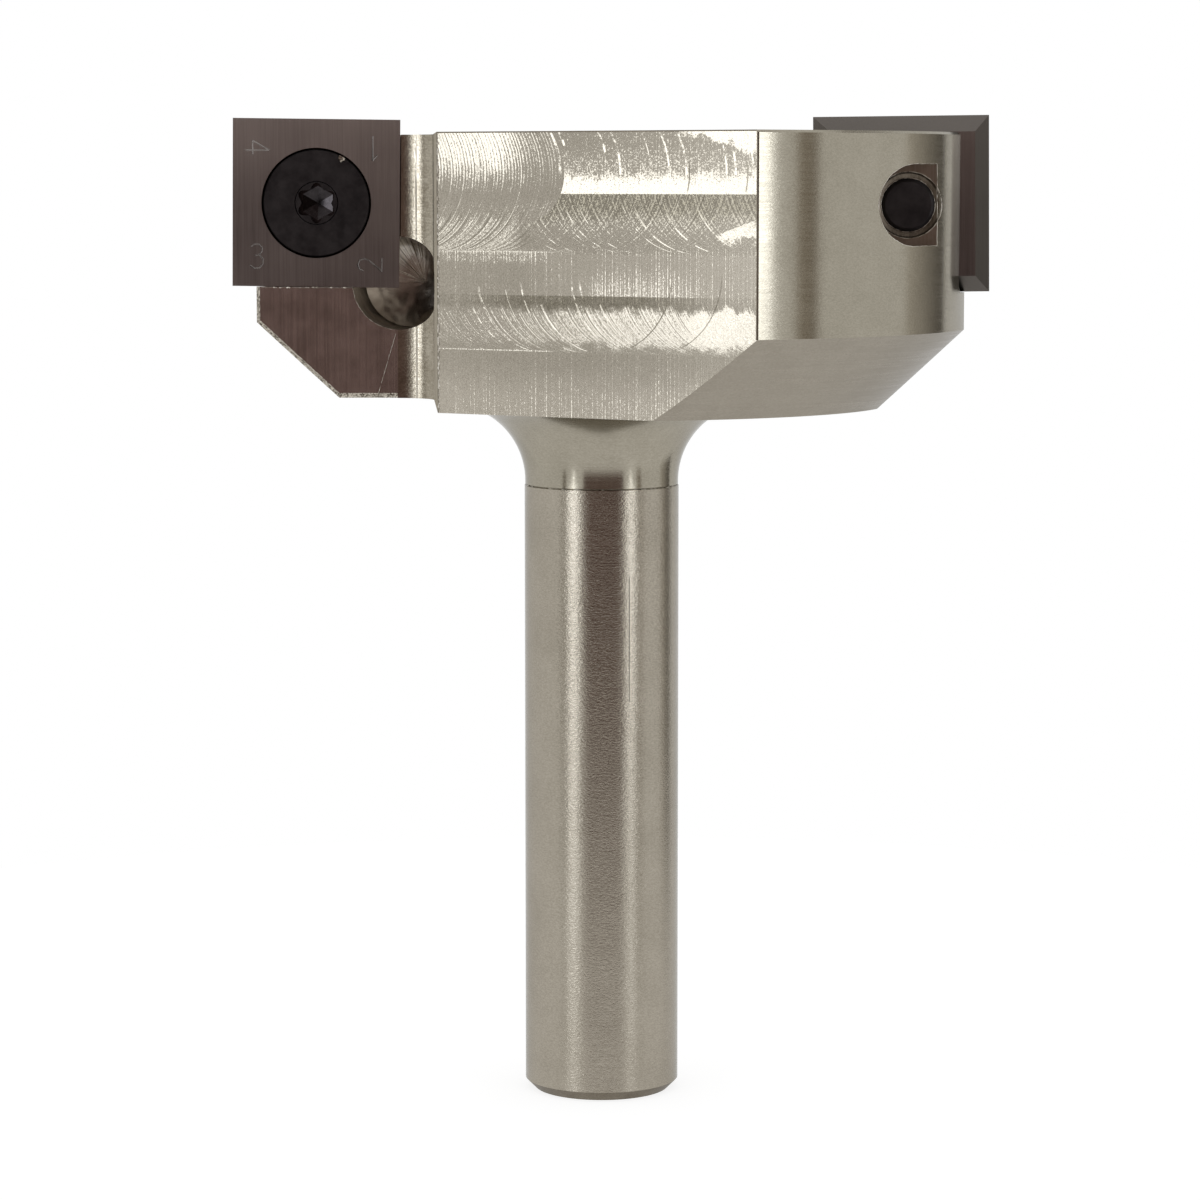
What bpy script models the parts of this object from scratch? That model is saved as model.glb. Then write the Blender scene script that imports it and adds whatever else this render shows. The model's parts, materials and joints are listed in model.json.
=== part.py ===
"""Spoilboard surfacing bit: a two-wing steel head on a half-inch shank.

Each wing carries a square carbide knife, sunk in a pocket and held by a countersunk screw. The bit
stands on the end of its shank and its axis is Z. The first knife is on the -X side, with its cutting
face towards -Y. The second is the same, half a turn round the axis. All sizes are in metres.
"""

import math
from functools import partial

import bmesh
import bpy
from mathutils import Matrix, Vector

# Shank and neck
SHANK_DIAMETER = 0.0127
SHANK_END_CHAMFER = 0.0008
GROUND_LENGTH = 0.0505
GRIND_LINE_DEPTH = 0.00006
GRIND_LINE_WIDTH = 0.00016
NECK_DIAMETER = 0.0126
NECK_FILLET = 0.00635
UNDERSIDE_HEIGHT = 0.05715

# Turned head, which lies inside the cutting circle by the knife's reach
CUTTING_DIAMETER = 0.0635
KNIFE_REACH = 0.00175
HEAD_THICKNESS = 0.022
HEAD_CONE_HEIGHT = 0.00635
HEAD_CONE_WIDTH = 0.0066
HEAD_RIM_CHAMFER = 0.0002

# Milled gullets and flats. A gullet's wall keeps chip room between itself and the knife's inner edge.
FLAT_OFFSET = 0.01785
FLAT_YAW = math.radians(30.6)
CHIP_ROOM = 0.00313
GULLET_WALL_DRAFT = math.radians(3.5)
GULLET_CORNER_RADIUS = 0.003175
GULLET_FACE_PROUD = 0.0003
EDGE_BREAK = 0.00035

# Knives, with the cutting face set past the axis for a positive hook
RAKE_OFFSET = 0.0076
KNIFE_SIDE = 0.014
KNIFE_THICKNESS = 0.002
KNIFE_BEVEL_WIDTH = 0.0013
KNIFE_DISH = math.radians(0.7)
KNIFE_PROUD = 0.0014

# Pockets that the knives sit in
SEAT_GAP = 0.00015
POCKET_SIDE_GAP = 0.0003
POCKET_CORNER_RADIUS = 0.0007
RELIEF_DIAMETER = 0.0078
RELIEF_DEPTH = 0.0095
RELIEF_RISE = 0.0004
RELIEF_TILT = math.radians(5.0)
DRILL_POINT_ANGLE = math.radians(118.0)

# Screws, their threaded holes and the milled recess at their far ends. Both threads are drawn as
# plain cylinders at the pitch diameter of a 5 mm thread, with a small gap between them.
SCREW_DIAMETER = 0.005
THREAD_PITCH_DIAMETER = 0.00448
SCREW_HEAD_DIAMETER = 0.0089
SCREW_HEAD_SUNK = 0.00015
SCREW_HEAD_EDGE = 0.0002
SCREW_TIP_DIAMETER = 0.0041
COUNTERSINK_ANGLE = math.radians(90.0)
THREAD_GAP = 0.0002
SOCKET_DIAMETER = 0.0034
SOCKET_WAIST_DIAMETER = 0.0025
SOCKET_DEPTH = 0.0017
SOCKET_LOBES = 6
KNIFE_HOLE_GAP = 0.00025
RECESS_FLOOR_DEPTH = 0.0071
RECESS_WIDTH = 0.00635
RECESS_SHIFT = 0.0004
HOLE_MOUTH_DIAMETER = 0.0052

# How finely round shapes are drawn, how far cutters pass through what they cut, and how near two
# points, planes or directions count as the same
HEAD_STEPS = 144
ROUND_STEPS = 48
FILLET_STEPS = 10
CORNER_STEPS = 4
POINTS_PER_LOBE = 10
PASS_THROUGH = 0.001
CLEAR_OF_HEAD = 0.04
ON_SURFACE = 0.00002
SAME_POINT = 0.0000001

SHANK_RADIUS = SHANK_DIAMETER / 2
NECK_RADIUS = NECK_DIAMETER / 2
HEAD_RADIUS = CUTTING_DIAMETER / 2 - KNIFE_REACH
TIP_OFFSET = math.sqrt((CUTTING_DIAMETER / 2) ** 2 - RAKE_OFFSET**2)
GULLET_WALL_OFFSET = TIP_OFFSET - KNIFE_SIDE - CHIP_ROOM
HEAD_TOP = UNDERSIDE_HEIGHT + HEAD_THICKNESS
CONE_TOP = UNDERSIDE_HEIGHT + HEAD_CONE_HEIGHT
CONE_FOOT_RADIUS = HEAD_RADIUS - HEAD_CONE_WIDTH
SCREW_RADIUS = SCREW_DIAMETER / 2
STEM_RADIUS = THREAD_PITCH_DIAMETER / 2
HALF_KNIFE = KNIFE_SIDE / 2
SEAT_DEPTH = KNIFE_THICKNESS + SEAT_GAP
HALF_TURN = Matrix.Rotation(math.pi, 4, "Z")


def knife_frame():
    """The first knife's own frame: origin at the middle of its cutting face, Y into the wing.

    The dish turns the knife in its own plane, so that its outer top corner stands highest and lies
    on the cutting circle, and the edge clears the board behind that corner.
    """
    corner = Vector((-HALF_KNIFE, 0, HALF_KNIFE))
    corner.rotate(Matrix.Rotation(KNIFE_DISH, 3, "Y"))
    middle = Vector((-TIP_OFFSET, RAKE_OFFSET, HEAD_TOP + KNIFE_PROUD)) - corner
    return Matrix.Translation(middle) @ Matrix.Rotation(KNIFE_DISH, 4, "Y")


def arc(centre, radius, start, end, steps):
    """Points from one angle to another round a centre, both ends included."""
    angles = [start + (end - start) * i / steps for i in range(steps + 1)]
    return [Vector((centre[0] + radius * math.cos(a), centre[1] + radius * math.sin(a))) for a in angles]


def object_of(name, mesh_builder):
    """An object that takes over the mesh built in a bmesh."""
    bmesh.ops.recalc_face_normals(mesh_builder, faces=mesh_builder.faces)
    mesh = bpy.data.meshes.new(name)
    mesh_builder.to_mesh(mesh)
    mesh_builder.free()
    obj = bpy.data.objects.new(name, mesh)
    bpy.context.scene.collection.objects.link(obj)
    return obj


def turned(profile, steps, axis="Z"):
    """A closed solid turned from (radius, height) points that start and end on the axis."""
    shape = bmesh.new()
    points = [shape.verts.new((radius, 0, height)) for radius, height in profile]
    edges = [shape.edges.new(pair) for pair in zip(points, points[1:])]
    bmesh.ops.spin(
        shape, geom=points + edges, cent=(0, 0, 0), axis=(0, 0, 1), angle=2 * math.pi,
        steps=steps, use_merge=True,
    )
    bmesh.ops.remove_doubles(shape, verts=shape.verts, dist=SAME_POINT)
    if axis == "Y":
        bmesh.ops.rotate(shape, verts=shape.verts, matrix=Matrix.Rotation(-math.pi / 2, 3, "X"))
    return shape


def prism(outline, low, high):
    """A solid with a level outline of (x, y) points, from one height to another."""
    shape = bmesh.new()
    base = shape.faces.new([shape.verts.new((point[0], point[1], low)) for point in outline])
    sides = bmesh.ops.extrude_face_region(shape, geom=[base])
    raised = [item for item in sides["geom"] if isinstance(item, bmesh.types.BMVert)]
    bmesh.ops.translate(shape, verts=raised, vec=(0, 0, high - low))
    return shape


def cut_away(target, cutter):
    """Cuts one object out of another and keeps the cutter as a hidden wire shape."""
    cutter.hide_render = True
    cutter.display_type = "WIRE"
    cut = target.modifiers.new(cutter.name, "BOOLEAN")
    cut.operation = "DIFFERENCE"
    cut.solver = "EXACT"
    cut.object = cutter


def cut_both_wings(target, name, make_cutter, frame):
    """Cuts the same shape out of both wings. The cutter is made in the given frame."""
    for number, turn in ((1, Matrix.Identity(4)), (2, HALF_TURN)):
        cutter = object_of(f"{name}_{number}", make_cutter())
        cutter.matrix_world = turn @ frame
        cut_away(target, cutter)


def finish(obj, material, sharp_angle=30.0):
    """Smooth shading with sharp edges kept, and the piece's material."""
    obj.data.shade_smooth()
    obj.data.set_sharp_from_angle(angle=math.radians(sharp_angle))
    obj.data.materials.clear()
    obj.data.materials.append(material)


def metal(name, colour, roughness, metallic):
    material = bpy.data.materials.new(name)
    material.use_nodes = True
    shader = material.node_tree.nodes["Principled BSDF"]
    shader.inputs["Base Color"].default_value = (*colour, 1)
    shader.inputs["Roughness"].default_value = roughness
    shader.inputs["Metallic"].default_value = metallic
    return material


def blank_profile():
    """Half of the turned blank: ground shank, grinding line, neck, fillet, cone and head."""
    fillet_start = UNDERSIDE_HEIGHT - NECK_FILLET
    fillet = arc((NECK_RADIUS + NECK_FILLET, fillet_start), NECK_FILLET, math.pi, math.pi / 2, FILLET_STEPS)
    return [
        (0, 0),
        (SHANK_RADIUS - SHANK_END_CHAMFER, 0),
        (SHANK_RADIUS, SHANK_END_CHAMFER),
        (SHANK_RADIUS, GROUND_LENGTH - GRIND_LINE_WIDTH / 2),
        (NECK_RADIUS - GRIND_LINE_DEPTH, GROUND_LENGTH),
        (NECK_RADIUS, GROUND_LENGTH + GRIND_LINE_WIDTH / 2),
        *fillet,
        (CONE_FOOT_RADIUS, UNDERSIDE_HEIGHT),
        (HEAD_RADIUS, CONE_TOP),
        (HEAD_RADIUS, HEAD_TOP - HEAD_RIM_CHAMFER),
        (HEAD_RADIUS - HEAD_RIM_CHAMFER, HEAD_TOP),
        (0, HEAD_TOP),
    ]


def gullet_face_y():
    """The gullet's back face stands a little proud of the knife's cutting face."""
    return RAKE_OFFSET - GULLET_FACE_PROUD


def gullet_fillet_centre():
    """The middle of the fillet that joins the gullet's back face to its drafted wall."""
    y = gullet_face_y() - GULLET_CORNER_RADIUS
    to_wall = GULLET_CORNER_RADIUS / math.cos(GULLET_WALL_DRAFT)
    return Vector((-GULLET_WALL_OFFSET - y * math.tan(GULLET_WALL_DRAFT) - to_wall, y))


def gullet_outline():
    """Seen from above: the gullet's back face, its corner fillet, its wall and the long front flat."""
    along_wall = Vector((math.sin(GULLET_WALL_DRAFT), -math.cos(GULLET_WALL_DRAFT)))
    along_flat = Vector((math.cos(FLAT_YAW), -math.sin(FLAT_YAW)))
    flat_normal = Vector((-math.sin(FLAT_YAW), -math.cos(FLAT_YAW)))
    centre = gullet_fillet_centre()
    corner = arc(centre, GULLET_CORNER_RADIUS, math.pi / 2, GULLET_WALL_DRAFT, FILLET_STEPS)

    foot = Vector((-GULLET_WALL_OFFSET, 0))
    to_flat = (FLAT_OFFSET - foot.dot(flat_normal)) / along_wall.dot(flat_normal)
    front_edge = foot + along_wall * to_flat
    beyond = front_edge + along_flat * (2 * HEAD_RADIUS + CLEAR_OF_HEAD)
    outside = -HEAD_RADIUS - CLEAR_OF_HEAD
    back_corner = Vector((outside, gullet_face_y()))
    return [back_corner, *corner, front_edge, beyond, Vector((outside, beyond.y))]


def gullet_cutter():
    return prism(gullet_outline(), UNDERSIDE_HEIGHT - PASS_THROUGH, HEAD_TOP + PASS_THROUGH)


def pocket_cutter():
    """The knife's pocket: a flat seat, a ledge below and an inner wall, with small milled corners.

    It is open to the front, to the outside and to the top.
    """
    inner = HALF_KNIFE + POCKET_SIDE_GAP
    low = -HALF_KNIFE - SEAT_GAP
    far = CLEAR_OF_HEAD
    shape = prism([(-far, -far), (inner, -far), (inner, SEAT_DEPTH), (-far, SEAT_DEPTH)], low, far)
    on_seat = [
        edge for edge in shape.edges
        if all(vert.co.y > SEAT_DEPTH - ON_SURFACE for vert in edge.verts)
        and (
            all(vert.co.x > inner - ON_SURFACE for vert in edge.verts)
            or all(vert.co.z < low + ON_SURFACE for vert in edge.verts)
        )
    ]
    bmesh.ops.bevel(
        shape, geom=on_seat, offset=POCKET_CORNER_RADIUS, segments=CORNER_STEPS, profile=0.5,
        affect="EDGES", material=-1,
    )
    return shape


def drill(radius, depth):
    """A drill that has come down +Z to a pointed end, with its shank far behind."""
    point = radius / math.tan(DRILL_POINT_ANGLE / 2)
    return turned([(0, -CLEAR_OF_HEAD), (radius, -CLEAR_OF_HEAD), (radius, depth - point), (0, depth)],
                  ROUND_STEPS, "Y")


def relief_cutter():
    """The drilled relief at the pocket's inner bottom corner, which leaves room for the knife's corner."""
    return drill(RELIEF_DIAMETER / 2, RELIEF_DEPTH)


def relief_frame(knife):
    corner = knife @ Vector((HALF_KNIFE, 0, -HALF_KNIFE))
    centre = Vector((corner.x, gullet_face_y(), corner.z + RELIEF_RISE))
    return Matrix.Translation(centre) @ Matrix.Rotation(-RELIEF_TILT, 4, "Z")


def recess_cutter():
    """A D-shaped recess: an end mill run in from the head's side, past the screw's far end."""
    radius = RECESS_WIDTH / 2
    outline = arc((-RECESS_SHIFT, 0), radius, -math.pi / 2, math.pi / 2, ROUND_STEPS // 2)
    far = CLEAR_OF_HEAD
    outline += [Vector((-far, radius)), Vector((-far, -radius))]
    shape = prism(outline, RECESS_FLOOR_DEPTH, far)
    bmesh.ops.rotate(shape, verts=shape.verts, matrix=Matrix.Rotation(-math.pi / 2, 3, "X"))
    return shape


def countersink_depth(wide_radius, narrow_radius):
    return (wide_radius - narrow_radius) / math.tan(COUNTERSINK_ANGLE / 2)


def screw_cone():
    """Where the cone under the screw's head starts and ends, measured from the knife's cutting face."""
    start = SCREW_HEAD_SUNK + SCREW_HEAD_EDGE
    return start, start + countersink_depth(SCREW_HEAD_DIAMETER / 2, STEM_RADIUS)


def screw_hole_cutter():
    """The threaded hole from the seat to the recess.

    It opens at the seat with a countersink that clears the screw's cone, and has a chamfer in the recess.
    """
    cone_end = screw_cone()[1]
    bore = STEM_RADIUS + THREAD_GAP
    mouth = HOLE_MOUTH_DIAMETER / 2
    end = RECESS_FLOOR_DEPTH + PASS_THROUGH
    profile = [
        (0, 0),
        (bore + cone_end * math.tan(COUNTERSINK_ANGLE / 2), 0),
        (bore, cone_end),
        (bore, RECESS_FLOOR_DEPTH - (mouth - bore)),
        (mouth, RECESS_FLOOR_DEPTH),
        (mouth, end),
        (0, end),
    ]
    return turned(profile, ROUND_STEPS, "Y")


def edge_breaker(start, end, inward, away):
    """A prism that takes the corner off an edge. The two directions lie in the faces beside the edge."""
    across = (inward - away).normalized() * PASS_THROUGH
    section = [
        inward * EDGE_BREAK + across,
        away * EDGE_BREAK - across,
        (inward + away) * -PASS_THROUGH,
    ]
    shape = bmesh.new()
    base = shape.faces.new([shape.verts.new(start + point) for point in section])
    sides = bmesh.ops.extrude_face_region(shape, geom=[base])
    moved = [item for item in sides["geom"] if isinstance(item, bmesh.types.BMVert)]
    bmesh.ops.translate(shape, verts=moved, vec=end - start)
    return shape


def gullet_edge_breakers():
    """Cutters for the edges between a gullet's back face and the side, cone and underside of the head."""
    face_y = gullet_face_y()
    side_x = -math.sqrt(HEAD_RADIUS**2 - face_y**2)
    shoulder = Vector((side_x, face_y, CONE_TOP))
    foot = Vector((-math.sqrt(CONE_FOOT_RADIUS**2 - face_y**2), face_y, UNDERSIDE_HEIGHT))
    inner_end = Vector((gullet_fillet_centre().x, face_y, UNDERSIDE_HEIGHT))
    up = Vector((0, 0, 1))
    outward = Vector((-1, 0, 0))
    around = Vector((face_y, -side_x, 0)).normalized()
    down_cone = (foot - shoulder).normalized()
    above_cone = Vector((-down_cone.z, 0, down_cone.x))
    past = PASS_THROUGH
    return {
        "side_edge": (shoulder - up * past, shoulder + up * HEAD_THICKNESS, -outward, around),
        "cone_edge": (shoulder - down_cone * past, foot + down_cone * past, above_cone, around),
        "underside_edge": (foot + outward * past, inner_end, up, Vector((0, 1, 0))),
    }


def keep_result(obj):
    """Replaces an object's mesh with what its modifiers make of it, and removes the cutters."""
    bpy.context.view_layer.update()
    cutters = [modifier.object for modifier in obj.modifiers]
    result = bpy.data.meshes.new_from_object(obj.evaluated_get(bpy.context.evaluated_depsgraph_get()))
    obj.modifiers.clear()
    obj.data = result
    for cutter in cutters:
        bpy.data.objects.remove(cutter)


def make_body(knife, material):
    body = object_of("cutter_body", turned(blank_profile(), HEAD_STEPS))
    cut_both_wings(body, "gullet", gullet_cutter, Matrix.Identity(4))
    for name, edge in gullet_edge_breakers().items():
        cut_both_wings(body, name, partial(edge_breaker, *edge), Matrix.Identity(4))
    cut_both_wings(body, "pocket", pocket_cutter, knife)
    cut_both_wings(body, "corner_relief", relief_cutter, relief_frame(knife))
    cut_both_wings(body, "screw_recess", recess_cutter, knife)
    cut_both_wings(body, "screw_hole", screw_hole_cutter, knife)
    keep_result(body)
    finish(body, material)


def knife_shape():
    """A square plate that narrows to its back, so that each of its four edges cuts."""
    shape = bmesh.new()
    bmesh.ops.create_cube(shape, size=1)
    for vert in shape.verts:
        at_back = vert.co.y > 0
        half = HALF_KNIFE - KNIFE_BEVEL_WIDTH if at_back else HALF_KNIFE
        depth = KNIFE_THICKNESS if at_back else 0
        vert.co = (math.copysign(half, vert.co.x), depth, math.copysign(half, vert.co.z))
    return shape


def countersink_cutter():
    """The hole through a knife: a straight bore and a countersink that the screw's head sits in."""
    bore = SCREW_RADIUS + KNIFE_HOLE_GAP
    mouth = SCREW_HEAD_DIAMETER / 2 + SEAT_GAP
    cone_start = screw_cone()[0]
    depth = countersink_depth(mouth, bore)
    profile = [
        (0, -PASS_THROUGH),
        (mouth, -PASS_THROUGH),
        (mouth, cone_start),
        (bore, cone_start + depth),
        (bore, KNIFE_THICKNESS + PASS_THROUGH),
        (0, KNIFE_THICKNESS + PASS_THROUGH),
    ]
    return turned(profile, ROUND_STEPS, "Y")


def screw_shape():
    """A countersunk screw: flat head, cone, threaded stem and a narrow tip."""
    head = SCREW_HEAD_DIAMETER / 2
    tip = SCREW_TIP_DIAMETER / 2
    cone_start, cone_end = screw_cone()
    end = RECESS_FLOOR_DEPTH
    profile = [
        (0, SCREW_HEAD_SUNK),
        (head, SCREW_HEAD_SUNK),
        (head, cone_start),
        (STEM_RADIUS, cone_end),
        (STEM_RADIUS, end - (STEM_RADIUS - tip)),
        (tip, end),
        (0, end),
    ]
    return turned(profile, ROUND_STEPS, "Y")


def socket_cutter():
    """The screw's six-lobed drive socket."""
    middle = (SOCKET_DIAMETER + SOCKET_WAIST_DIAMETER) / 4
    wave = (SOCKET_DIAMETER - SOCKET_WAIST_DIAMETER) / 4
    count = SOCKET_LOBES * POINTS_PER_LOBE
    outline = []
    for i in range(count):
        angle = 2 * math.pi * i / count
        radius = middle + wave * math.cos(SOCKET_LOBES * angle)
        outline.append(Vector((radius * math.sin(angle), radius * math.cos(angle))))
    shape = prism(outline, -PASS_THROUGH, SCREW_HEAD_SUNK + SOCKET_DEPTH)
    bmesh.ops.rotate(shape, verts=shape.verts, matrix=Matrix.Rotation(-math.pi / 2, 3, "X"))
    return shape


def make_pair(name, shape, cutter, knife, material):
    """One cut piece and its copy half a turn round. Both share one mesh."""
    first = object_of(f"{name}_1", shape)
    cut_away(first, object_of(f"{name}_cutter", cutter))
    keep_result(first)
    finish(first, material)
    first.matrix_world = knife
    second = bpy.data.objects.new(f"{name}_2", first.data)
    bpy.context.scene.collection.objects.link(second)
    second.matrix_world = HALF_TURN @ knife


def main():
    for obj in list(bpy.data.objects):
        bpy.data.objects.remove(obj)
    nickel = metal("nickel plated steel", (0.31, 0.28, 0.23), 0.3, 1.0)
    carbide = metal("ground carbide", (0.10, 0.085, 0.078), 0.4, 1.0)
    black = metal("black oxide steel", (0.02, 0.018, 0.018), 0.45, 0.8)
    knife = knife_frame()
    make_body(knife, nickel)
    make_pair("insert_knife", knife_shape(), countersink_cutter(), knife, carbide)
    make_pair("insert_screw", screw_shape(), socket_cutter(), knife, black)


main()
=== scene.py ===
# %% [markdown]
# # Spoilboard surfacing bit
#
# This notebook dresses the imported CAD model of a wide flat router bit: a ground half-inch shank, a
# turned steel head with two milled gullets, and two square carbide knives held by countersunk
# screws. The CAD solids carry the sizes. Here each of them gets a finer twin with smooth curves,
# tool marks, broken edges and small wear, in the same place and to the same sizes.

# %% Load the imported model
import json
import math
import random

import bmesh
import bpy
from mathutils import Matrix, Vector

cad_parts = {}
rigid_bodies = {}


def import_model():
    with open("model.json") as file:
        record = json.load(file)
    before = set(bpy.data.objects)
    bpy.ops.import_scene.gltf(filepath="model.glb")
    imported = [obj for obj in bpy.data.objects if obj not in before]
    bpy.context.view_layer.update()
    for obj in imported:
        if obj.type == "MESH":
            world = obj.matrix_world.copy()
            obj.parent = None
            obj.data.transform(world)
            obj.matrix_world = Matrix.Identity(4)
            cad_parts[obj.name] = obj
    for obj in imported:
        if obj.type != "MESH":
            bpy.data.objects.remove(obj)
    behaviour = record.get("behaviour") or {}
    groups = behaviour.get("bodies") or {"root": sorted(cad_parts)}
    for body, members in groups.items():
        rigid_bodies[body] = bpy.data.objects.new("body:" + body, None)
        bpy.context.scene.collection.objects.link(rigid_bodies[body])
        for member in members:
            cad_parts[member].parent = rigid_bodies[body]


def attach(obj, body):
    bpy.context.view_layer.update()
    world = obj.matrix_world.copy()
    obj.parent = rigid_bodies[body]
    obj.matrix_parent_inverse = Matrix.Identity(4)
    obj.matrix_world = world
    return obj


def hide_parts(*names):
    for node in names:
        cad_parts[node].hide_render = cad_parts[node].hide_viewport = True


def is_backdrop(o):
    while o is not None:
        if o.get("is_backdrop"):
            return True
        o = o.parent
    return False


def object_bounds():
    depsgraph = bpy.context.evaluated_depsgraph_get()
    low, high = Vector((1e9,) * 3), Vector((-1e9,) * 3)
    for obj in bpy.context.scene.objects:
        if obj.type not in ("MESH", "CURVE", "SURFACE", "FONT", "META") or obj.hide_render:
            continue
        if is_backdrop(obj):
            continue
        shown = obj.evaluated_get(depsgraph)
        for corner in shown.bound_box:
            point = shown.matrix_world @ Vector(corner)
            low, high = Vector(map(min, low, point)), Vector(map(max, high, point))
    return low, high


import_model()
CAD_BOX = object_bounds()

print("CAD box in mm:", [[round(1000 * value, 2) for value in corner] for corner in CAD_BOX])

# %% [markdown]
# ## Camera
#
# The camera was solved from the known sizes: a 12.7 mm shank and 14 mm knives fix the distance and
# the focal length together. It stands a little higher than the middle of the bit and looks down by
# six degrees, so that the underside of the shank shows as a shallow arc.

# %% Camera
CAMERA_PLACE = Vector((0.000389, -0.313329, 0.075628))
CAMERA_PITCH = math.radians(6.331)
CAMERA_YAW = math.radians(-0.096)
CAMERA_LENS = 114.36

ahead = Vector((
    math.sin(CAMERA_YAW) * math.cos(CAMERA_PITCH),
    math.cos(CAMERA_YAW) * math.cos(CAMERA_PITCH),
    -math.sin(CAMERA_PITCH),
))
rightward = Vector((math.cos(CAMERA_YAW), -math.sin(CAMERA_YAW), 0))
upward = rightward.cross(ahead)
looking = Matrix((rightward, upward, -ahead)).transposed().to_4x4()
lens = bpy.data.cameras.new("photo_camera")
lens.sensor_width = 36
lens.lens = CAMERA_LENS
lens.clip_start = 0.01
camera = bpy.data.objects.new("photo_camera", lens)
camera.matrix_world = Matrix.Translation(CAMERA_PLACE) @ looking
bpy.context.scene.collection.objects.link(camera)
bpy.context.scene.camera = camera
bpy.context.scene.view_settings.view_transform = "Standard"
print("camera", round(CAMERA_PLACE.length, 3), "m from the shank's end")

# %% [markdown]
# ## Nodes and colours
#
# Materials are built from nodes. One small helper adds any node, sets it and links it, and one
# function turns a colour as it is written on screen into the linear values that the shader wants.

# %% One helper for nodes and one for colours
def add(tree, kind, inputs=(), **settings):
    """Adds a node. Its kind may name an operation too. Its inputs are values, sockets or nodes, in order
    or by name."""
    kind, *operation = kind.split()
    node = tree.nodes.new("ShaderNode" + kind)
    if operation:
        node.operation = operation[0]
    for name, value in settings.items():
        setattr(node, name, value)
    for key, value in inputs.items() if isinstance(inputs, dict) else enumerate(inputs):
        if isinstance(value, bpy.types.Node):
            value = value.outputs[0]
        if isinstance(value, bpy.types.NodeSocket):
            tree.links.new(value, node.inputs[key])
        else:
            node.inputs[key].default_value = value
    return node


def colour(written):
    """An sRGB hex colour as linear red, green, blue and alpha."""
    shown = [int(written[i:i + 2], 16) / 255 for i in (1, 3, 5)]
    return (*[c / 12.92 if c <= 0.04045 else ((c + 0.055) / 1.055) ** 2.4 for c in shown], 1)


print("#808080 is", round(colour("#808080")[0], 3), "in linear light")

# %% [markdown]
# ## The studio
#
# Polished metal shows its surroundings, so the studio is half of the picture. The background is
# plain white. Two soft lamps stand left and right of the camera and draw the two bright stripes down
# the shank. Each has a narrower and weaker one below it, because the stripes fade towards the foot.
# They stay low, so that the level top of the head isn't washed out when it is seen from behind. A dark
# brown card behind the camera draws the dark stripe between them. Two narrow grey cards beside the
# lamps and one at the far right draw the darker bands of the wing. The cards are there for reflections
# alone, so that no view finds one in its background.

# %% Helpers for surroundings and pieces
def emptied(block):
    """The node tree of a new material or world, with nothing in it."""
    block.use_nodes = True
    block.node_tree.nodes.clear()
    return block.node_tree


def seen_directly(tree):
    """1 for a ray that shows a thing to the camera, straight, mirrored or through glass, and 0 for one
    that carries light to another thing."""
    rays = add(tree, "LightPath").outputs
    seen = add(tree, "Math MAXIMUM", (rays["Is Camera Ray"], rays["Is Glossy Ray"]))
    return add(tree, "Math MAXIMUM", (seen, rays["Is Transmission Ray"]))


scene = bpy.context.scene


def piece(name, shape, *materials):
    """An object made from a bmesh, with its materials."""
    mesh = bpy.data.meshes.new(name)
    shape.to_mesh(mesh)
    shape.free()
    for material in materials:
        mesh.materials.append(material)
    made = bpy.data.objects.new(name, mesh)
    scene.collection.objects.link(made)
    return made


print("the scene is", scene.name)

# %% White surroundings
# The surroundings are seen as pure white, and the light that they throw on the bit is a little weaker.
SKY_LIGHT = 0.8
world = bpy.data.worlds.new("white_studio")
tree = emptied(world)
strength = add(tree, "MapRange", {"Value": seen_directly(tree), "To Min": SKY_LIGHT, "To Max": 1.0})
sky = add(tree, "Background", {"Color": colour("#FFFFFF"), "Strength": strength})
add(tree, "OutputWorld", {"Surface": sky})
scene.world = world
print("the surroundings light the bit with a strength of", SKY_LIGHT)

# %% A paper floor
# The paper glows a little less than white where it is seen, and the light on it makes up the rest, so
# that the bit's shadow stays.
FLOOR_RADIUS = 0.12
FLOOR_GLOW = 0.8
FLOOR_TONE = "#959595"
paper = bpy.data.materials.new("white paper sweep")
tree = emptied(paper)
glow = add(tree, "Math MULTIPLY", (seen_directly(tree), FLOOR_GLOW))
lit = add(tree, "BsdfDiffuse", {"Color": colour(FLOOR_TONE)})
shine = add(tree, "Emission", {"Color": colour("#FFFFFF"), "Strength": glow})
both = add(tree, "AddShader", (lit, shine))
add(tree, "OutputMaterial", {"Surface": both})

disc = bmesh.new()
bmesh.ops.create_circle(disc, cap_ends=True, segments=96, radius=FLOOR_RADIUS)
floor = piece("floor", disc, paper)
floor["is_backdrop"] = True
print("floor radius", FLOOR_RADIUS, "m")

# %% Lamps and cards
# Each stands at a bearing round the bit, in degrees from the camera's side and positive to the right,
# and at a distance from the axis. Heights are measured from the table.
def facing_the_bit(bearing, distance, height):
    """A frame whose -Z looks level at the bit's axis."""
    angle = math.radians(bearing)
    place = Vector((math.sin(angle), -math.cos(angle), 0)) * distance
    turn = (-place).to_track_quat("-Z", "Y").to_matrix().to_4x4()
    return Matrix.Translation(place + Vector((0, 0, height))) @ turn


def wide(start, end, distance):
    """The width of a flat thing that spans these bearings."""
    return 2 * distance * math.tan(math.radians(end - start) / 2)


def soft_lamp(name, start, end, distance, low, high, radiance):
    """A soft lamp that the camera doesn't see. Its power is its radiance times pi times its area."""
    lamp = bpy.data.lights.new(name, "AREA")
    lamp.shape = "RECTANGLE"
    lamp.size = wide(start, end, distance)
    lamp.size_y = high - low
    lamp.color = colour("#F0F6FF")[:3]
    lamp.energy = radiance * math.pi * lamp.size * lamp.size_y
    box = bpy.data.objects.new(name, lamp)
    box.matrix_world = facing_the_bit((start + end) / 2, distance, (low + high) / 2)
    box.visible_camera = False
    scene.collection.objects.link(box)


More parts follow.
